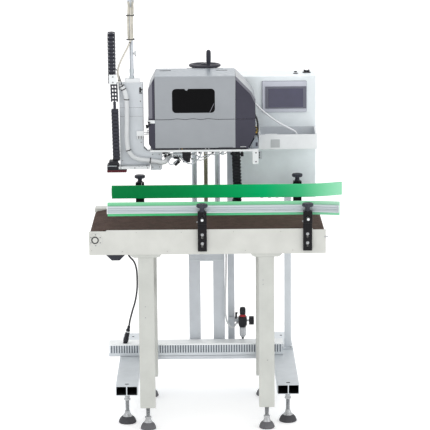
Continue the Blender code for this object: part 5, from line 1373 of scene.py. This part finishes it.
def cabinet():
    x0, y0, z0 = LOW
    x1, y1, z1 = HIGH
    shell = Shape(CASE, DARK_SHADE_AND_PRINT, ZINC, CASE_SHADED)
    shell.box(LOW, HIGH, 0, 0)
    soften(shell.bm, 0.0035, lambda e: not all(v.co.y > y1 - 0.001 for v in e.verts), 4)
    shell.drop(lambda c, n: n.y > 0.9)
    shell.thicken(SHEET)
    # Sides and bottom take the darker copy of the cabinet paint: painted shade.
    shell.paint(3, lambda c, n: n.y > -0.5 and n.z < 0.6)
    shell.cut(*[Shape().rod((x, GLAND_Y, z0 - 0.01), UP, 0.03, 0.0095, 1, 24) for x in GLAND_X])
    shell.done("cabinet_case", "frame", "cabinet_shell", "grey_powder_coat")
    inner = Shape(STEEL, BLACK, WHITE, GREEN)
    plate_x = x0 + 0.008
    inner.box((plate_x, 0.64, 0.93), (plate_x + 0.003, 0.815, 1.41))
    for y, z, tall, deep, mat in ((0.66, 1.3, 0.11, 0.075, 1), (0.655, 1.13, 0.14, 0.06, 2),
            (0.67, 0.96, 0.08, 0.055, 1)):
        inner.box((plate_x + 0.002, y, z), (plate_x + deep, y + 0.12, z + tall), mat, 0.0015)
        for i in range(6):
            inner.box((plate_x + deep - 0.001, y + 0.01 + i * 0.018, z + tall * 0.15),
                (plate_x + deep + 0.0004, y + 0.018 + i * 0.018, z + tall * 0.8), 3 if mat == 2 else 0, 0.0003)
    inner.done("cabinet_electronics", "frame", "electronics_panel", "electronics")
    # The rear door in the darker copy of the cabinet paint: painted shade.
    door = Shape(CASE_SHADED, DARK_SHADE_AND_PRINT)
    door.box((x0 + 0.0005, y1 + GAP, z0 + 0.0005), (x1 - 0.0005, y1 + 0.008, z1 - 0.0005), 0, 0.002, 3)
    vents = [opening((0.235, z), (0.38, z + 0.005), 0.0022, 4, "XZ", y1 - 0.01,
        y1 + 0.02) for z in [0.935 + 0.013 * i for i in range(7)]]
    door.cut(*vents)
    door.done("cabinet_rear_door", "door", "cabinet_door", "grey_powder_coat")
    locks = Shape(BLACK, ZINC, DARK_SHADE_AND_PRINT)
    for z in (1.035, 1.3):
        locks.rod((0.148, y1 + 0.0078, z), AWAY, 0.0045, 0.0125, 0, 28, 0.0012)
        locks.rod((0.148, y1 + 0.012, z), AWAY, 0.0012, 0.006, 1, 20)
        locks.box((0.1468, y1 + 0.0128, z - 0.0045), (0.1492, y1 + 0.0136, z + 0.0045), 2, 0.0002)
    for z in (0.96, 1.17, 1.38):
        locks.rod((x1 - 0.004, y1 + 0.008, z - 0.02), UP, 0.04, 0.0038, 1, 20)
    locks.done("door_locks_and_hinges", "door", slot="zinc_steel")
    hmi = Shape(LAVENDER, SCREEN_FRAME, SCREEN)
    hmi.prism(rounded((0.2514, 1.2858), (0.4487, 1.4238), 0.003, 4), "XZ", y0 - GAP, y0 - 0.0092, 0, 0.0016,
        None, 3)
    hmi.prism(rounded((0.25, 1.2844), (0.4501, 1.4252), 0.004, 4), "XZ", y0 - GAP, y0 - 0.0022, 1, 0.0005)
    hmi.prism(rounded((0.2645, 1.302), (0.4482, 1.4012), 0.0015, 3), "XZ", y0 - 0.009, y0 - 0.0118, 1, 0.0006)
    hmi.prism(rounded((0.2785, 1.3092), (0.434, 1.392), 0.001, 3), "XZ", y0 - 0.0116, y0 - 0.0128, 2, 0.0003)
    hmi.done("operator_screen", "frame", "touch_screen", "electronics")


def tray():
    x0, x1, front, rear, low = 0.2306, 0.4899, 0.48, 0.6197, 1.1384
    side = [(front, low), (rear, low), (rear, 1.22), (front, 1.204)]
    body = Shape(WHITE, GREY)
    body.prism(side, "YZ", x0, x1, 0, 0.0016, lambda e: not all(v.co.z > 1.2035 for v in e.verts), 3)
    body.drop(lambda c, n: n.z > 0.9)
    body.thicken(0.0022)
    # The tray's inner back wall and floor in grey: painted shade inside the tray.
    body.paint(1, lambda c, n: (n.y < -0.7 and c.y > rear - 0.004) or (n.z > 0.7 and c.z < 1.145))
    body.box((x0 + 0.001, front + 0.0016, 1.2005), (x1 - 0.001, front + 0.0095, 1.204))
    for x in (x0, x1 - 0.0022):
        body.turned_box(((x + x + 0.0022) / 2 + (0.003 if x < 0.3 else -0.003), (front + rear) / 2, 1.2112),
            (0.0082, rear - front - 0.004, 0.0016), Matrix.Rotation(math.atan2(0.016, rear - front), 4, "X"), 0,
            0.0004)
    body.box((0.261, front - 0.0004, 1.2032), (0.312, front + 0.0105, 1.2068))
    body.done("side_tray", "frame", "cable_tray", "white_powder_coat")
    patch = Shape(TRIM)
    patch.box((0.284, front - 0.0012, 1.147), (0.325, front + 0.0002, 1.183))
    patch.box((0.286, front - 0.0016, 1.149), (0.323, front - 0.001, 1.181), 0, 0.0003)
    patch.done("tray_window_plate", "frame", slot="grey_powder_coat")


def switches():
    top = HIGH.z
    x, y = 0.456, 0.743
    base = Shape(BLACK)
    base.prism(rounded((x - 0.018, y - 0.014), (x + 0.018, y + 0.014), 0.003, 4), "XY", top - 0.0008,
        top + 0.003, 0, 0.0008)
    base.lathe([(0.009, top - 0.0005), (0.0118, top - 0.0005), (0.0118, top + 0.0012), (0.011, top + 0.002),
        (0.0094, top + 0.0022), (0.009, top + 0.002)], BUTTON)
    base.done("switch_bases", "frame", slot="black_plastic")
    rocker = Shape(BLACK, HOSE)
    curve = [(x - 0.013, top + 0.0058), (x - 0.006, top + 0.0046), (x + 0.006, top + 0.0046),
        (x + 0.013, top + 0.0058), (x + 0.013, top + 0.0126),
        *[(x + 0.013 - 0.026 * i / 12, top + 0.01 + 0.0044 * abs(1 - i / 6) ** 1.6) for i in range(13)],
        (x - 0.013, top + 0.0126)]
    outline = []
    for point in curve:
        if not outline or (Vector(point) - Vector(outline[-1])).length > 1e-5:
            outline.append(point)
    rocker.prism(outline, "XZ", y - 0.01, y + 0.01)
    rocker.box((x + 0.006, y - 0.004, top + 0.0108), (x + 0.0068, y + 0.004, top + 0.0124), 1, 0)
    rocker.done("mains_switch_rocker", "rocker", "mains_rocker", "black_plastic")
    cap = Shape(BLACK)
    cap.lathe([(0, top + 0.0056), (0.0062, top + 0.0056), (0.0068, top + 0.0062), (0.0068, top + 0.0098),
        (0.006, top + 0.0108), (0.0035, top + 0.0104), (0, top + 0.0102)], BUTTON)
    cap.done("start_push", "button", "start_button", "black_plastic")
    glands = Shape(BLACK)
    for x in GLAND_X:
        glands.rods(
            ((x, GLAND_Y, LOW.z - 0.0001), DOWN, 0.005, 0.0115, 0, 6),
            ((x, GLAND_Y, LOW.z - 0.0049), DOWN, 0.01, 0.0092, 0, 20, 0.002),
            ((x, GLAND_Y, LOW.z + 0.002), UP, 0.006, 0.011, 0, 6))
    glands.done("cabinet_glands", "frame", slot="black_plastic")
    post = Shape(PALE, ZINC)
    post.box((0.3521, 0.672, 0.1815), (0.3821, 0.702, LOW.z - GAP), 0, 0.002, 3)
    post.box((0.33, 0.648, RAIL_HIGH + GAP), (0.39, 0.724, 0.183), 0, 0.0012)
    for bx, by in ((0.34, 0.66), (0.382, 0.66), (0.34, 0.713), (0.382, 0.713)):
        post.bolt((bx, by, 0.183), UP, 0.005, 1)
    post.done("cabinet_leg", "frame", "cabinet_post_right", "mast_grey")


def air_unit():
    x, y = 0.1585, 0.64
    body = Shape(BLACK, RED, ZINC, WHITE, DARK_SHADE_AND_PRINT, MAST)
    body.lathe([(0, 0.2892), (0.015, 0.2892), (0.0165, 0.292), (0.0188, 0.296), (0.019, 0.3), (0.019, 0.335),
        (0.0165, 0.3372), (0.014, 0.338), (0, 0.338)], (x, y, 0), steps=36)
    body.box((x - 0.0192, y - 0.015, 0.299), (x + 0.0192, y + 0.015, 0.3366), 0, 0.003)
    body.lathe([(0, 0.3378), (0.0146, 0.3378), (0.015, 0.3385), (0.015, 0.3425), (0.0146, 0.3432),
        (0.0128, 0.3434), (0.0128, 0.3468), (0, 0.3468)], (x, y, 0), mat=1, steps=36)
    body.ring(0.0045, 0.0075, 0.001, (x, y - 0.0148, 0.3175), TOWARD, 2, 28)
    body.rods(
        ((x - 0.0195, y, 0.308), (-1, 0, 0), 0.005, 0.0058, 2, 6),
        ((x - 0.0195, y, 0.33), (-1, 0, 0), 0.011, 0.004, 2, 6),
        ((x - 0.03, y, 0.327), UP, 0.03, 0.0046, 0, 18, 0.001),
        ((x - 0.03, y, 0.34), (0.3, 0, 1), 0.018, 0.003, 0, 14, 0.001))
    body.tube(((x - 0.024, y, 0.308), (x - 0.028, y, 0.308)), 0.0052, 4, 16, 0.002)
    body.rod((x + 0.019, y, 0.318), ALONG, 0.011, 0.005, 2, 6)
    body.lathe([(0, 0), (0.0185, 0), (0.02, 0.0016), (0.02, 0.0205), (0.019, 0.0224), (0.0176, 0.0226),
        (0.0172, 0.0206), (0, 0.0206)], (x + 0.029, y, 0.318), ALONG, 0, 44)
    body.ring(0, 0.0168, 0.0006, (x + 0.029 + 0.0204, y, 0.318), ALONG, 3, 36)
    face = x + 0.029 + 0.0211
    for i in range(11):
        a = math.radians(-135 + 27 * i)
        turn = Matrix.Rotation(a, 4, "X")
        body.turned_box((face, y - 0.0142 * math.sin(a), 0.318 + 0.0142 * math.cos(a)), (0.0004, 0.0007, 0.003),
            turn, 4, 0)
    body.turned_box((face + 0.0003, y - 0.0045, 0.3225), (0.0004, 0.0008, 0.013),
        Matrix.Rotation(math.radians(45), 4, "X"), 1, 0)
    body.box((0.096, 0.662, 0.306), (x + 0.004, 0.6715, 0.329), 5, 0.0008)
    body.box((x - 0.009, 0.653, 0.306), (x + 0.005, 0.664, 0.329), 5, 0.0008)
    body.done("air_unit_body", "frame", "filter_regulator_body", "regulator_black")
    knob = Shape(BLACK)
    knob.lathe([(0, 0.3482), (0.0122, 0.3482), (0.0126, 0.349), (0.0126, 0.3752), (0.0118, 0.379),
        (0.0095, 0.3808), (0, 0.3812)], (x, y, 0), steps=36)
    for a, u, v in around(18, 0.0126):
        knob.turned_box((x + u, y + v, 0.362), (0.002, 0.0018, 0.024), Matrix.Rotation(a, 4, "Z"), 0, 0.0004)
    knob.done("air_unit_knob", "regulator", "regulator_knob", "regulator_black")
    bowl = Shape(BOWL, BLACK)
    bowl.lathe([(0, 0.2886), (0.0148, 0.2886), (0.0148, 0.253), (0.0136, 0.2475), (0.01, 0.243),
        (0.006, 0.2405), (0, 0.24)], (x, y, 0), steps=40)
    bowl.lathe([(0, 0.243), (0.0068, 0.2425), (0.0062, 0.237), (0.0042, 0.233), (0.003, 0.224), (0.002, 0.2212),
        (0, 0.2212)], (x, y, 0), mat=1, steps=20)
    bowl.lathe([(0.013, 0.283), (0.014, 0.2834), (0.014, 0.2878), (0.013, 0.2882)], (x, y, 0), mat=1, steps=36)
    bowl.done("air_unit_bowl", "frame", "filter_bowl", "bowl_plastic")


# ---- conveyor -----------------------------------------------------------------------------------
BELT_TOP = 0.879
BEAM_LOW = 0.772
END_X, END_Z = 0.474, 0.843


def beams():
    front = Shape(CREAM, DARK_SHADE_AND_PRINT)
    section = [(0, BEAM_LOW), (0.04, BEAM_LOW), (0.04, BEAM_LOW + 0.003), (0.003, BEAM_LOW + 0.003),
        (0.003, BELT_TOP), (0, BELT_TOP)]
    front.prism(section, "YZ", -0.5, 0.5, 0, 0.0011, None, 3)
    holes = [Shape().rod((-END_X, -0.02, END_Z), AWAY, 0.03, 0.009, 1, 32)]
    chamfer = Shape().prism([(0.491, BELT_TOP + 0.01), (0.52, BELT_TOP + 0.01), (0.52, 0.87)], "XZ", -0.01,
        0.02, 0, 0)
    low_ends = [Shape().box((a, -0.01, 0.8742), (b, 0.02, 0.9), 0, 0) for a, b in ((-0.52, -0.426),
        (0.445, 0.52))]
    front.cut(*holes, chamfer, *low_ends)
    front.done("beam_front", "frame", "conveyor_beam_front", "cream_powder_coat")
    rear = Shape(CREAM)
    section = [(0.54, BEAM_LOW), (0.54, BELT_TOP), (0.478, BELT_TOP), (0.478, BELT_TOP - 0.017),
        (0.481, BELT_TOP - 0.017), (0.481, BELT_TOP - 0.003), (0.537, BELT_TOP - 0.003),
        (0.537, BEAM_LOW + 0.003), (0.5, BEAM_LOW + 0.003), (0.5, BEAM_LOW)]
    rear.prism(section, "YZ", -0.5, 0.5, 0, 0.0011, None, 3)
    rear.done("beam_rear", "frame", "conveyor_beam_rear", "cream_powder_coat")
    ends = Shape(CREAM, DARK_SHADE_AND_PRINT, ZINC, STEEL, WHITE, TRIM)
    for s, wide in ((-1, 1), (1, 0)):
        x = s * END_X
        if wide:
            z, mid = END_Z - 0.0058, x + 0.002
            ends.lathe([(0.0094, 0), (0.0288, 0), (0.0294, 0.0005), (0.0294, 0.0014), (0.0286, 0.002),
                (0.0172, 0.0026), (0.016, 0.0044), (0.012, 0.0046), (0.0094, 0.004)], (mid, 0.0005, z), TOWARD,
                0, 56)
            # Dark ring round the shaft: painted shade of the gap.
            ends.ring(0.0108, 0.0158, 0.0006, (x, -0.004, z), TOWARD, 1, 40)
            ends.ring(0.0284, 0.0297, 0.0005, (mid, -0.0001, z), TOWARD, 5, 56)
            for _, u, v in around(6, 0.0232, 30):
                ends.bolt((mid + u, -0.002, z + v), TOWARD, 0.0022, 3, 1, "cap")
            ends.lathe([(0, 0), (0.0105, 0), (0.011, 0.0004), (0.0105, 0.001), (0, 0.001)], (x, -0.004, z),
                TOWARD, 0, 32)
        else:
            ends.prism(rounded((x - 0.022, END_Z - 0.011), (x + 0.022, END_Z + 0.011), 0.004, 4), "XZ", 0.0028,
                0.0052, 3, 0.0005)
    for x, z in ((-0.49, 0.792), (-0.3, 0.868), (-0.11, 0.868), (0.11, 0.868), (0.31, 0.868), (0.36, 0.787),
            (-0.36, 0.787), (0.16, 0.787), (-0.17, 0.787)):
        ends.bolt((x, 0.0, z), TOWARD, 0.0026, 0, 1, "pan")
    for x in (-0.47, 0.47):
        for z in (0.8, 0.86):
            ends.bolt((x, 0.54, z), AWAY, 0.005, 2)
    for x in (-0.3, -0.1, 0.12, 0.32):
        ends.bolt((x, 0.54, 0.787), AWAY, 0.004, 2, 1, "pan")
    ends.rod((0.499, 0.0065, 0.843), ALONG, 0.003, 0.0042, 2, 6)
    ends.rod((0.486, 0.0065, 0.843), ALONG, 0.024, 0.0022, 2, 12)
    ends.box((0.493, -0.0012, 0.84), (0.5012, 0.0105, 0.8462), 2, 0.0006)
    ends.rod((0.486, 0.533, 0.843), ALONG, 0.024, 0.0022, 2, 12)
    ends.rod((0.499, 0.533, 0.843), ALONG, 0.003, 0.0042, 2, 6)
    ends.done("beam_end_fittings", "frame", slot="zinc_steel")


def belt():
    radius = 0.0235 + GAP + 0.0025
    bed = 0.436
    path = [(-bed + 2 * bed * i / 24, BELT_TOP - 0.0005) for i in range(25)]
    for sign, first, last in ((1, 84, -90), (-1, 270, 96)):
        for i in range(27):
            a = math.radians(first + (last - first) * i / 26)
            c, d = math.cos(a), math.sin(a)
            swell = (abs(c) ** 2.6 + abs(d) ** 2.6) ** (-1 / 2.6) if d > 0 else 1.0
            path.append((sign * END_X + radius * swell * c,
                END_Z + min(radius * swell * d, BELT_TOP - 0.0005 - END_Z)))
    outer = [Vector((x, 0, z)) for x, z in path]
    inner = []
    for i, p in enumerate(outer):
        a, b = outer[i - 1], outer[(i + 1) % len(outer)]
        ahead = (b - a).normalized()
        inner.append(p + Vector((-ahead.z, 0, ahead.x)) * -0.0025)
    bm = bmesh.new()
    ys = (0.0062, 0.0066, 0.24, 0.4734, 0.4738)
    rows = []
    for points, lift in ((outer, 1), (inner, -1)):
        for y in ys if lift > 0 else ys[::-1]:
            rows.append([bm.verts.new((p.x, y, p.z)) for p in points])
    skin(bm, rows, closed=True)
    Shape(BELT).take(bm, 0).done("belt_loop", "frame", "conveyor_belt", "belt_brown")
    bed_plate = Shape(STEEL)
    bed_plate.box((-0.43, 0.0034, 0.8657), (0.43, 0.4776, 0.8754), 0, 0.0015)
    bed_plate.done("bed_plate", "frame", "slider_bed", "zinc_steel")
    for name, node, body, x in (("drive_drum", "drive_roller", "drive", -END_X),
            ("tail_drum", "tail_roller", "tail", END_X)):
        drum = Shape(STEEL, ZINC, DARK_SHADE_AND_PRINT)
        drum.lathe([(0.0076, 0.008), (0.0225, 0.008), (0.0235, 0.0095), (0.0235, 0.4705), (0.0225, 0.472),
            (0.0076, 0.472)], (x, 0, END_Z), AWAY, 0, 48)
        near = -0.004 if x < 0 else 0.0034
        drum.lathe([(0, near), (0.0068, near), (0.0075, near + 0.0007), (0.0075, 0.536), (0.0068, 0.5366),
            (0, 0.5366)], (x, 0, END_Z), AWAY, 1, 28)
        # Dark disc on the shaft's end: painted shade of its centre hole.
        drum.ring(0, 0.0026, 0.0004, (x, near + 0.0001, END_Z), TOWARD, 2, 12)
        drum.done(name, body, node, "zinc_steel")


def motor():
    x, z = -0.3935, 0.7655
    unit = Shape(MOULD, ZINC, DARK_SHADE_AND_PRINT)
    turn = Matrix.Rotation(math.pi / 8, 4, "Y")
    profile = [(0, 0), (0.038, 0), (0.0438, 0.004), (0.0438, 0.03), (0.0425, 0.032), (0.0425, 0.208),
        (0.0438, 0.21), (0.0438, 0.236), (0.042, 0.24), (0, 0.24)]
    fin = [(0.03, 0), (0.0436, 0), (0.0436, 0.004), (0.03, 0.004)]
    for line, y in ((profile, 0.1), *((fin, 0.14 + i * 0.0115) for i in range(14))):
        part = Shape().lathe(line, (0, 0, 0), AWAY, 0, 8)
        bmesh.ops.transform(part.bm, matrix=Matrix.Translation((x, y, z)) @ turn, verts=part.bm.verts)
        unit.take(part.bm, 0)
    unit.box((-0.432, 0.33, 0.73), (-0.355, 0.5 - GAP, 0.804), 0, 0.003, 3)
    for bx in (-0.424, -0.363):
        for bz in (0.738, 0.796):
            unit.bolt((bx, 0.33, bz), TOWARD, 0.004, 1, 2, "cap")
    unit.rod((-0.37, 0.44, 0.7302), DOWN, 0.0062, 0.0068, 2, 6)
    unit.done("gear_motor", "frame", "gearmotor", "black_plastic")


def legs():
    zinc, pads = Shape(ZINC), Shape(PAD_GREY)
    top = BEAM_LOW - GAP
    for side, x, tie_z in (("left", -0.262, (0.5, 0.563)), ("right", 0.249, (0.645, 0.686))):
        body = Shape(LEG, DARK_SHADE_AND_PRINT, ZINC)
        plate_ = [(x - 0.066, top), (x - 0.066, top - 0.003), (x - 0.05, top - 0.014), (x + 0.05, top - 0.014),
            (x + 0.066, top - 0.003), (x + 0.066, top)]
        body.prism(plate_, "XZ", 0.004, 0.536, 0, 0.001)
        for y in (0.024, 0.516):
            leg = Shape(LEG, DARK_SHADE_AND_PRINT, ZINC).box((x - 0.033, y - 0.02, 0.095), (x + 0.033, y + 0.02, top - 0.0136),
                0, 0.003, 4)
            leg.cut(Shape().box((x - 0.03, y - 0.017, 0.06), (x + 0.03, y + 0.017, 0.097), 1, 0))
            body.take(leg.bm, None)
            foot(zinc, pads, x, y, 0.097, 0.033, 0.029, (0.0455,))
        body.box((x - 0.01, 0.04, tie_z[0]), (x + 0.01, 0.51, tie_z[1]), 0, 0.0015)
        spots = ((-0.0045, 0.545), (-0.0045, 0.496)) if side == "left" else ((-0.015, 0.657), (-0.015, 0.638),
            (0.003, 0.305))
        for dx, z in spots:
            body.bolt((x + dx, 0.004, z), TOWARD, 0.0024, 2, 1, "pan")
            body.bolt((x + dx, 0.536, z), AWAY, 0.0024, 2, 1, "pan")
        for dx in (-0.056, 0.056):
            for y in (0.02, 0.52):
                body.bolt((x + dx, y, top - 0.0095), DOWN, 0.005, 2)
        body.done(f"leg_pair_{side}", "frame", f"leg_frame_{side}", "cream_powder_coat")
    zinc.done("conveyor_foot_studs", "frame", slot="zinc_steel")
    pads.done("conveyor_foot_pads", "frame", slot="black_plastic")


# ---- guide rails --------------------------------------------------------------------------------
GUIDES = {
    "front": (0.04, -1, 0.0, 0.93, (-0.4206, 0.559), 0.4, 0.024, (-0.0217, 0.4225)),
    "rear": (0.425, 1, 0.54, 0.954, (-0.4206, 0.6), 0.4, 0.047, (-0.3, 0.405)),
}


def guides():
    for side, (face, outward, mount, rod_z, span, start, flare, brackets) in GUIDES.items():
        xs = [span[0], span[0] + 0.002, *[span[0] + (start - span[0]) * i / 8 for i in range(1, 9)],
            *[start + (span[1] - start) * i / 18 for i in range(1, 19)]]
        path = [(x, face + outward * flare * max(0.0, (x - start) / (span[1] - start)) ** 2) for x in xs]

        def section(points):
            return [(o * outward, z) for o, z in points]

        green = [(0.0012, 0.933), (0.009, 0.933), (0.01, 0.934), (0.01, 0.946), (0.01, 0.99), (0.009, 0.991),
            (0.0012, 0.991), (0.0003, 0.99), (0.0, 0.988), (0.0, 0.936), (0.0003, 0.934)]
        z0, z1 = 0.946, 0.978
        alloy = [(0.01, z0), (0.0247, z0), (0.0255, z0 + 0.0008), (0.0255, z0 + 0.0065), (0.0225, z0 + 0.0072),
            (0.0225, z0 + 0.0094), (0.0255, z0 + 0.0101), (0.0255, z0 + 0.012), (0.0205, z0 + 0.0126),
            (0.0205, z0 + 0.0194), (0.0255, z0 + 0.02), (0.0255, z0 + 0.0219), (0.0225, z0 + 0.0226),
            (0.0225, z0 + 0.0248), (0.0255, z0 + 0.0255), (0.0255, z1 - 0.0008), (0.0247, z1), (0.01, z1)]
        strip = Shape(GREEN, GREEN_PAINTED_HIGHLIGHT, GREEN_FOOT_PAINTED_SHEEN)
        strip.sweep(path, section(green), 0)
        # The front strip's outer, top and bottom faces get a painted highlight, and its low faces a painted
        # sheen.
        strip.paint(1, lambda c, n: side == "front" and (n.y * outward > 0.3 or abs(n.z) > 0.3))
        strip.paint(2, lambda c, n: side == "front" and c.z < 0.945 and (n.y * outward > 0.3 or n.z < -0.3))
        strip.done(f"wear_strip_{side}", f"{side}_guide", f"guide_rail_{side}", "green_wear_strip")
        rail = Shape(ALUMINIUM, WHITE, ZINC)
        rail.sweep(path, section(alloy), 0)
        y_cap = face + outward * 0.0095
        a, b = sorted((y_cap, face + outward * 0.0262))
        rail.box((span[0] - 0.0022, a, z0 - 0.0008), (span[0] + 0.001, b, z1 + 0.0008), 1, 0.0006)
        back = face + outward * 0.0255
        outer = mount + outward * 0.0615
        for x in brackets:
            low, high = sorted((back - outward * 0.004, back + outward * 0.0035))
            rail.box((x - 0.012, low, rod_z - 0.01 if rod_z < z0 + 0.01 else z0 + 0.001),
                (x + 0.012, high, z0 + 0.0235), 2, 0.0008)
            rail.rod((x, back - outward * 0.004, rod_z), (0, outward, 0), abs(outer - back) + 0.0025, 0.006, 2,
                24, 0.0008)
            rail.rod((x, outer - outward * 0.001, rod_z), (0, outward, 0), 0.0016, 0.0052, 1, 20, 0.0004)
        rail.done(f"guide_profile_{side}", f"{side}_guide", slot="zinc_steel")
        near = mount + outward * GAP
        for end, x in zip(("left", "right"), brackets):
            half = 0.019
            top = rod_z + 0.0285
            low, high = sorted((near, near + outward * 0.012))
            plate_ = Shape(SATIN_BLACK, ZINC, DARK_SHADE_AND_PRINT)
            plate_.box((x - half, low, 0.786), (x + half, high, rod_z - 0.0095), 0, 0.0014)
            slots = [opening((x - 0.0042, z), (x + 0.0042, z + 0.022), 0.004, 6, "XZ", mount - 0.05,
                mount + 0.05, 2) for z in (0.8, 0.838)]
            plate_.cut(*slots)
            plate_.done(f"bracket_plate_{side}_{end}", "frame", f"guide_bracket_{side}_{end}", "black_plastic")
            low, high = sorted((near - (outward * 0.002 if rod_z > BELT_TOP + 0.07 else 0),
                near + outward * 0.028))
            block = Shape(SATIN_BLACK, ZINC, DARK_SHADE_AND_PRINT)
            block.box((x - half, low, max(rod_z - 0.024, BELT_TOP + 0.002)), (x + half, high, top), 0, 0.0016)
            block.cut(
                Shape().rod((x, mount - outward * 0.05, rod_z), (0, outward, 0), 0.15, 0.0066, 2, 28),
                Shape().box((x + 0.007, low - 0.01, top - 0.023), (x + 0.0085, high + 0.01, top + 0.01), 2, 0))
            block.done(f"rod_clamp_{side}_{end}", "frame", slot="black_plastic")
            bolts = Shape(ZINC, DARK_SHADE_AND_PRINT)
            face_y = near + outward * 0.012
            for z in (0.8205, 0.8585):
                bolts.bolt((x, face_y, z), (0, outward, 0), 0.0062, 0)
                bolts.rod((x, face_y + outward * 0.0045, z), (0, outward, 0), 0.004, 0.003, 0, 14)
            bolts.bolt((x - half + 0.0001, mount + outward * 0.014, rod_z - 0.016), (-1, 0, 0), 0.004, 0, 1,
                "cap")
            bolts.done(f"bracket_bolts_{side}_{end}", "frame", slot="zinc_steel")
            knob = Shape(MOULD)
            kz = top + GAP
            rim = [(0, kz), (0.0118, kz), (0.0122, kz + 0.001), (0.0122, kz + 0.004), (0.01, kz + 0.0052),
                (0.0098, kz + 0.013), (0.0112, kz + 0.0165), (0.0195, kz + 0.018), (0.0213, kz + 0.0192),
                (0.022, kz + 0.0215), (0.022, kz + 0.029), (0.0208, kz + 0.0322), (0.015, kz + 0.0332),
                (0.012, kz + 0.0318), (0, kz + 0.0314)]
            knob.lathe(rim, (x, mount + outward * 0.016, 0), steps=48)
            for _, u, v in around(12, 0.0212):
                knob.rod((x + u, mount + outward * 0.016 + v, kz + 0.0196), UP, 0.0118, 0.0024, 0, 10, 0.001)
            knob.done(f"star_knob_{side}_{end}", f"knob_{side}_{end}", f"clamp_knob_{side}_{end}",
                "black_plastic")


# ---- studio -------------------------------------------------------------------------------------
WORLD_LIGHT, FLOOR_GLOW, FLOOR_RADIUS = 1.03, 0.24, 60.0


def studio():
    world = bpy.data.worlds.new("studio")
    world.use_nodes = True
    world.node_tree.nodes["Background"].inputs["Color"].default_value = (1.0, 1.0, 1.0, 1.0)
    world.node_tree.nodes["Background"].inputs["Strength"].default_value = WORLD_LIGHT
    bpy.context.scene.world = world
    bm = bmesh.new()
    bmesh.ops.create_circle(bm, cap_ends=True, segments=64, radius=FLOOR_RADIUS)
    mesh = bpy.data.meshes.new("floor")
    bm.to_mesh(mesh)
    bm.free()
    floor = put("floor", mesh)
    floor.location.z = -0.0005
    mesh.materials.append(finish("pale_floor", (252, 252, 252), 0.6, grain=60, relief=0.03, mottle=0.004,
        patch=0.6, wear=0.0, specks=0.0))
    glow = mesh.materials[0].node_tree.nodes["Principled BSDF"]
    glow.inputs["Emission Color"].default_value = (1.0, 1.0, 1.0, 1.0)
    glow.inputs["Emission Strength"].default_value = FLOOR_GLOW

    def lamp(name, at, aim, size, power):
        data = bpy.data.lights.new(name, "AREA")
        data.shape, data.size, data.energy = "DISK", size, power
        obj = put(name, data)
        obj.location = at
        obj.rotation_euler = (Vector(aim) - Vector(at)).to_track_quat("-Z", "Y").to_euler()

    lamp("key", (-2.6, -3.4, 3.4), (0, 0, 0.9), 2.2, 10)
    lamp("fill", (3.6, -2.4, 1.6), (0.3, 0, 0.9), 2.0, 17)
    lamp("top", (0.2, 0.8, 4.2), (0, 0, 1.0), 2.4, 9)
    lamp("back", (0.6, 3.6, 2.6), (0, 0, 1.0), 2.2, 5)
    bpy.context.scene.view_settings.view_transform = "Standard"
    bpy.context.scene.view_settings.look = "None"


for build in (
    stand, duct, mast, carriage, plate, lid, tub, printer_inside, right_of_printer, column, cylinder, tamp,
    chains, valves, cabinet, tray, switches, air_unit, beams, belt, motor, legs, guides, studio,
):
    build()
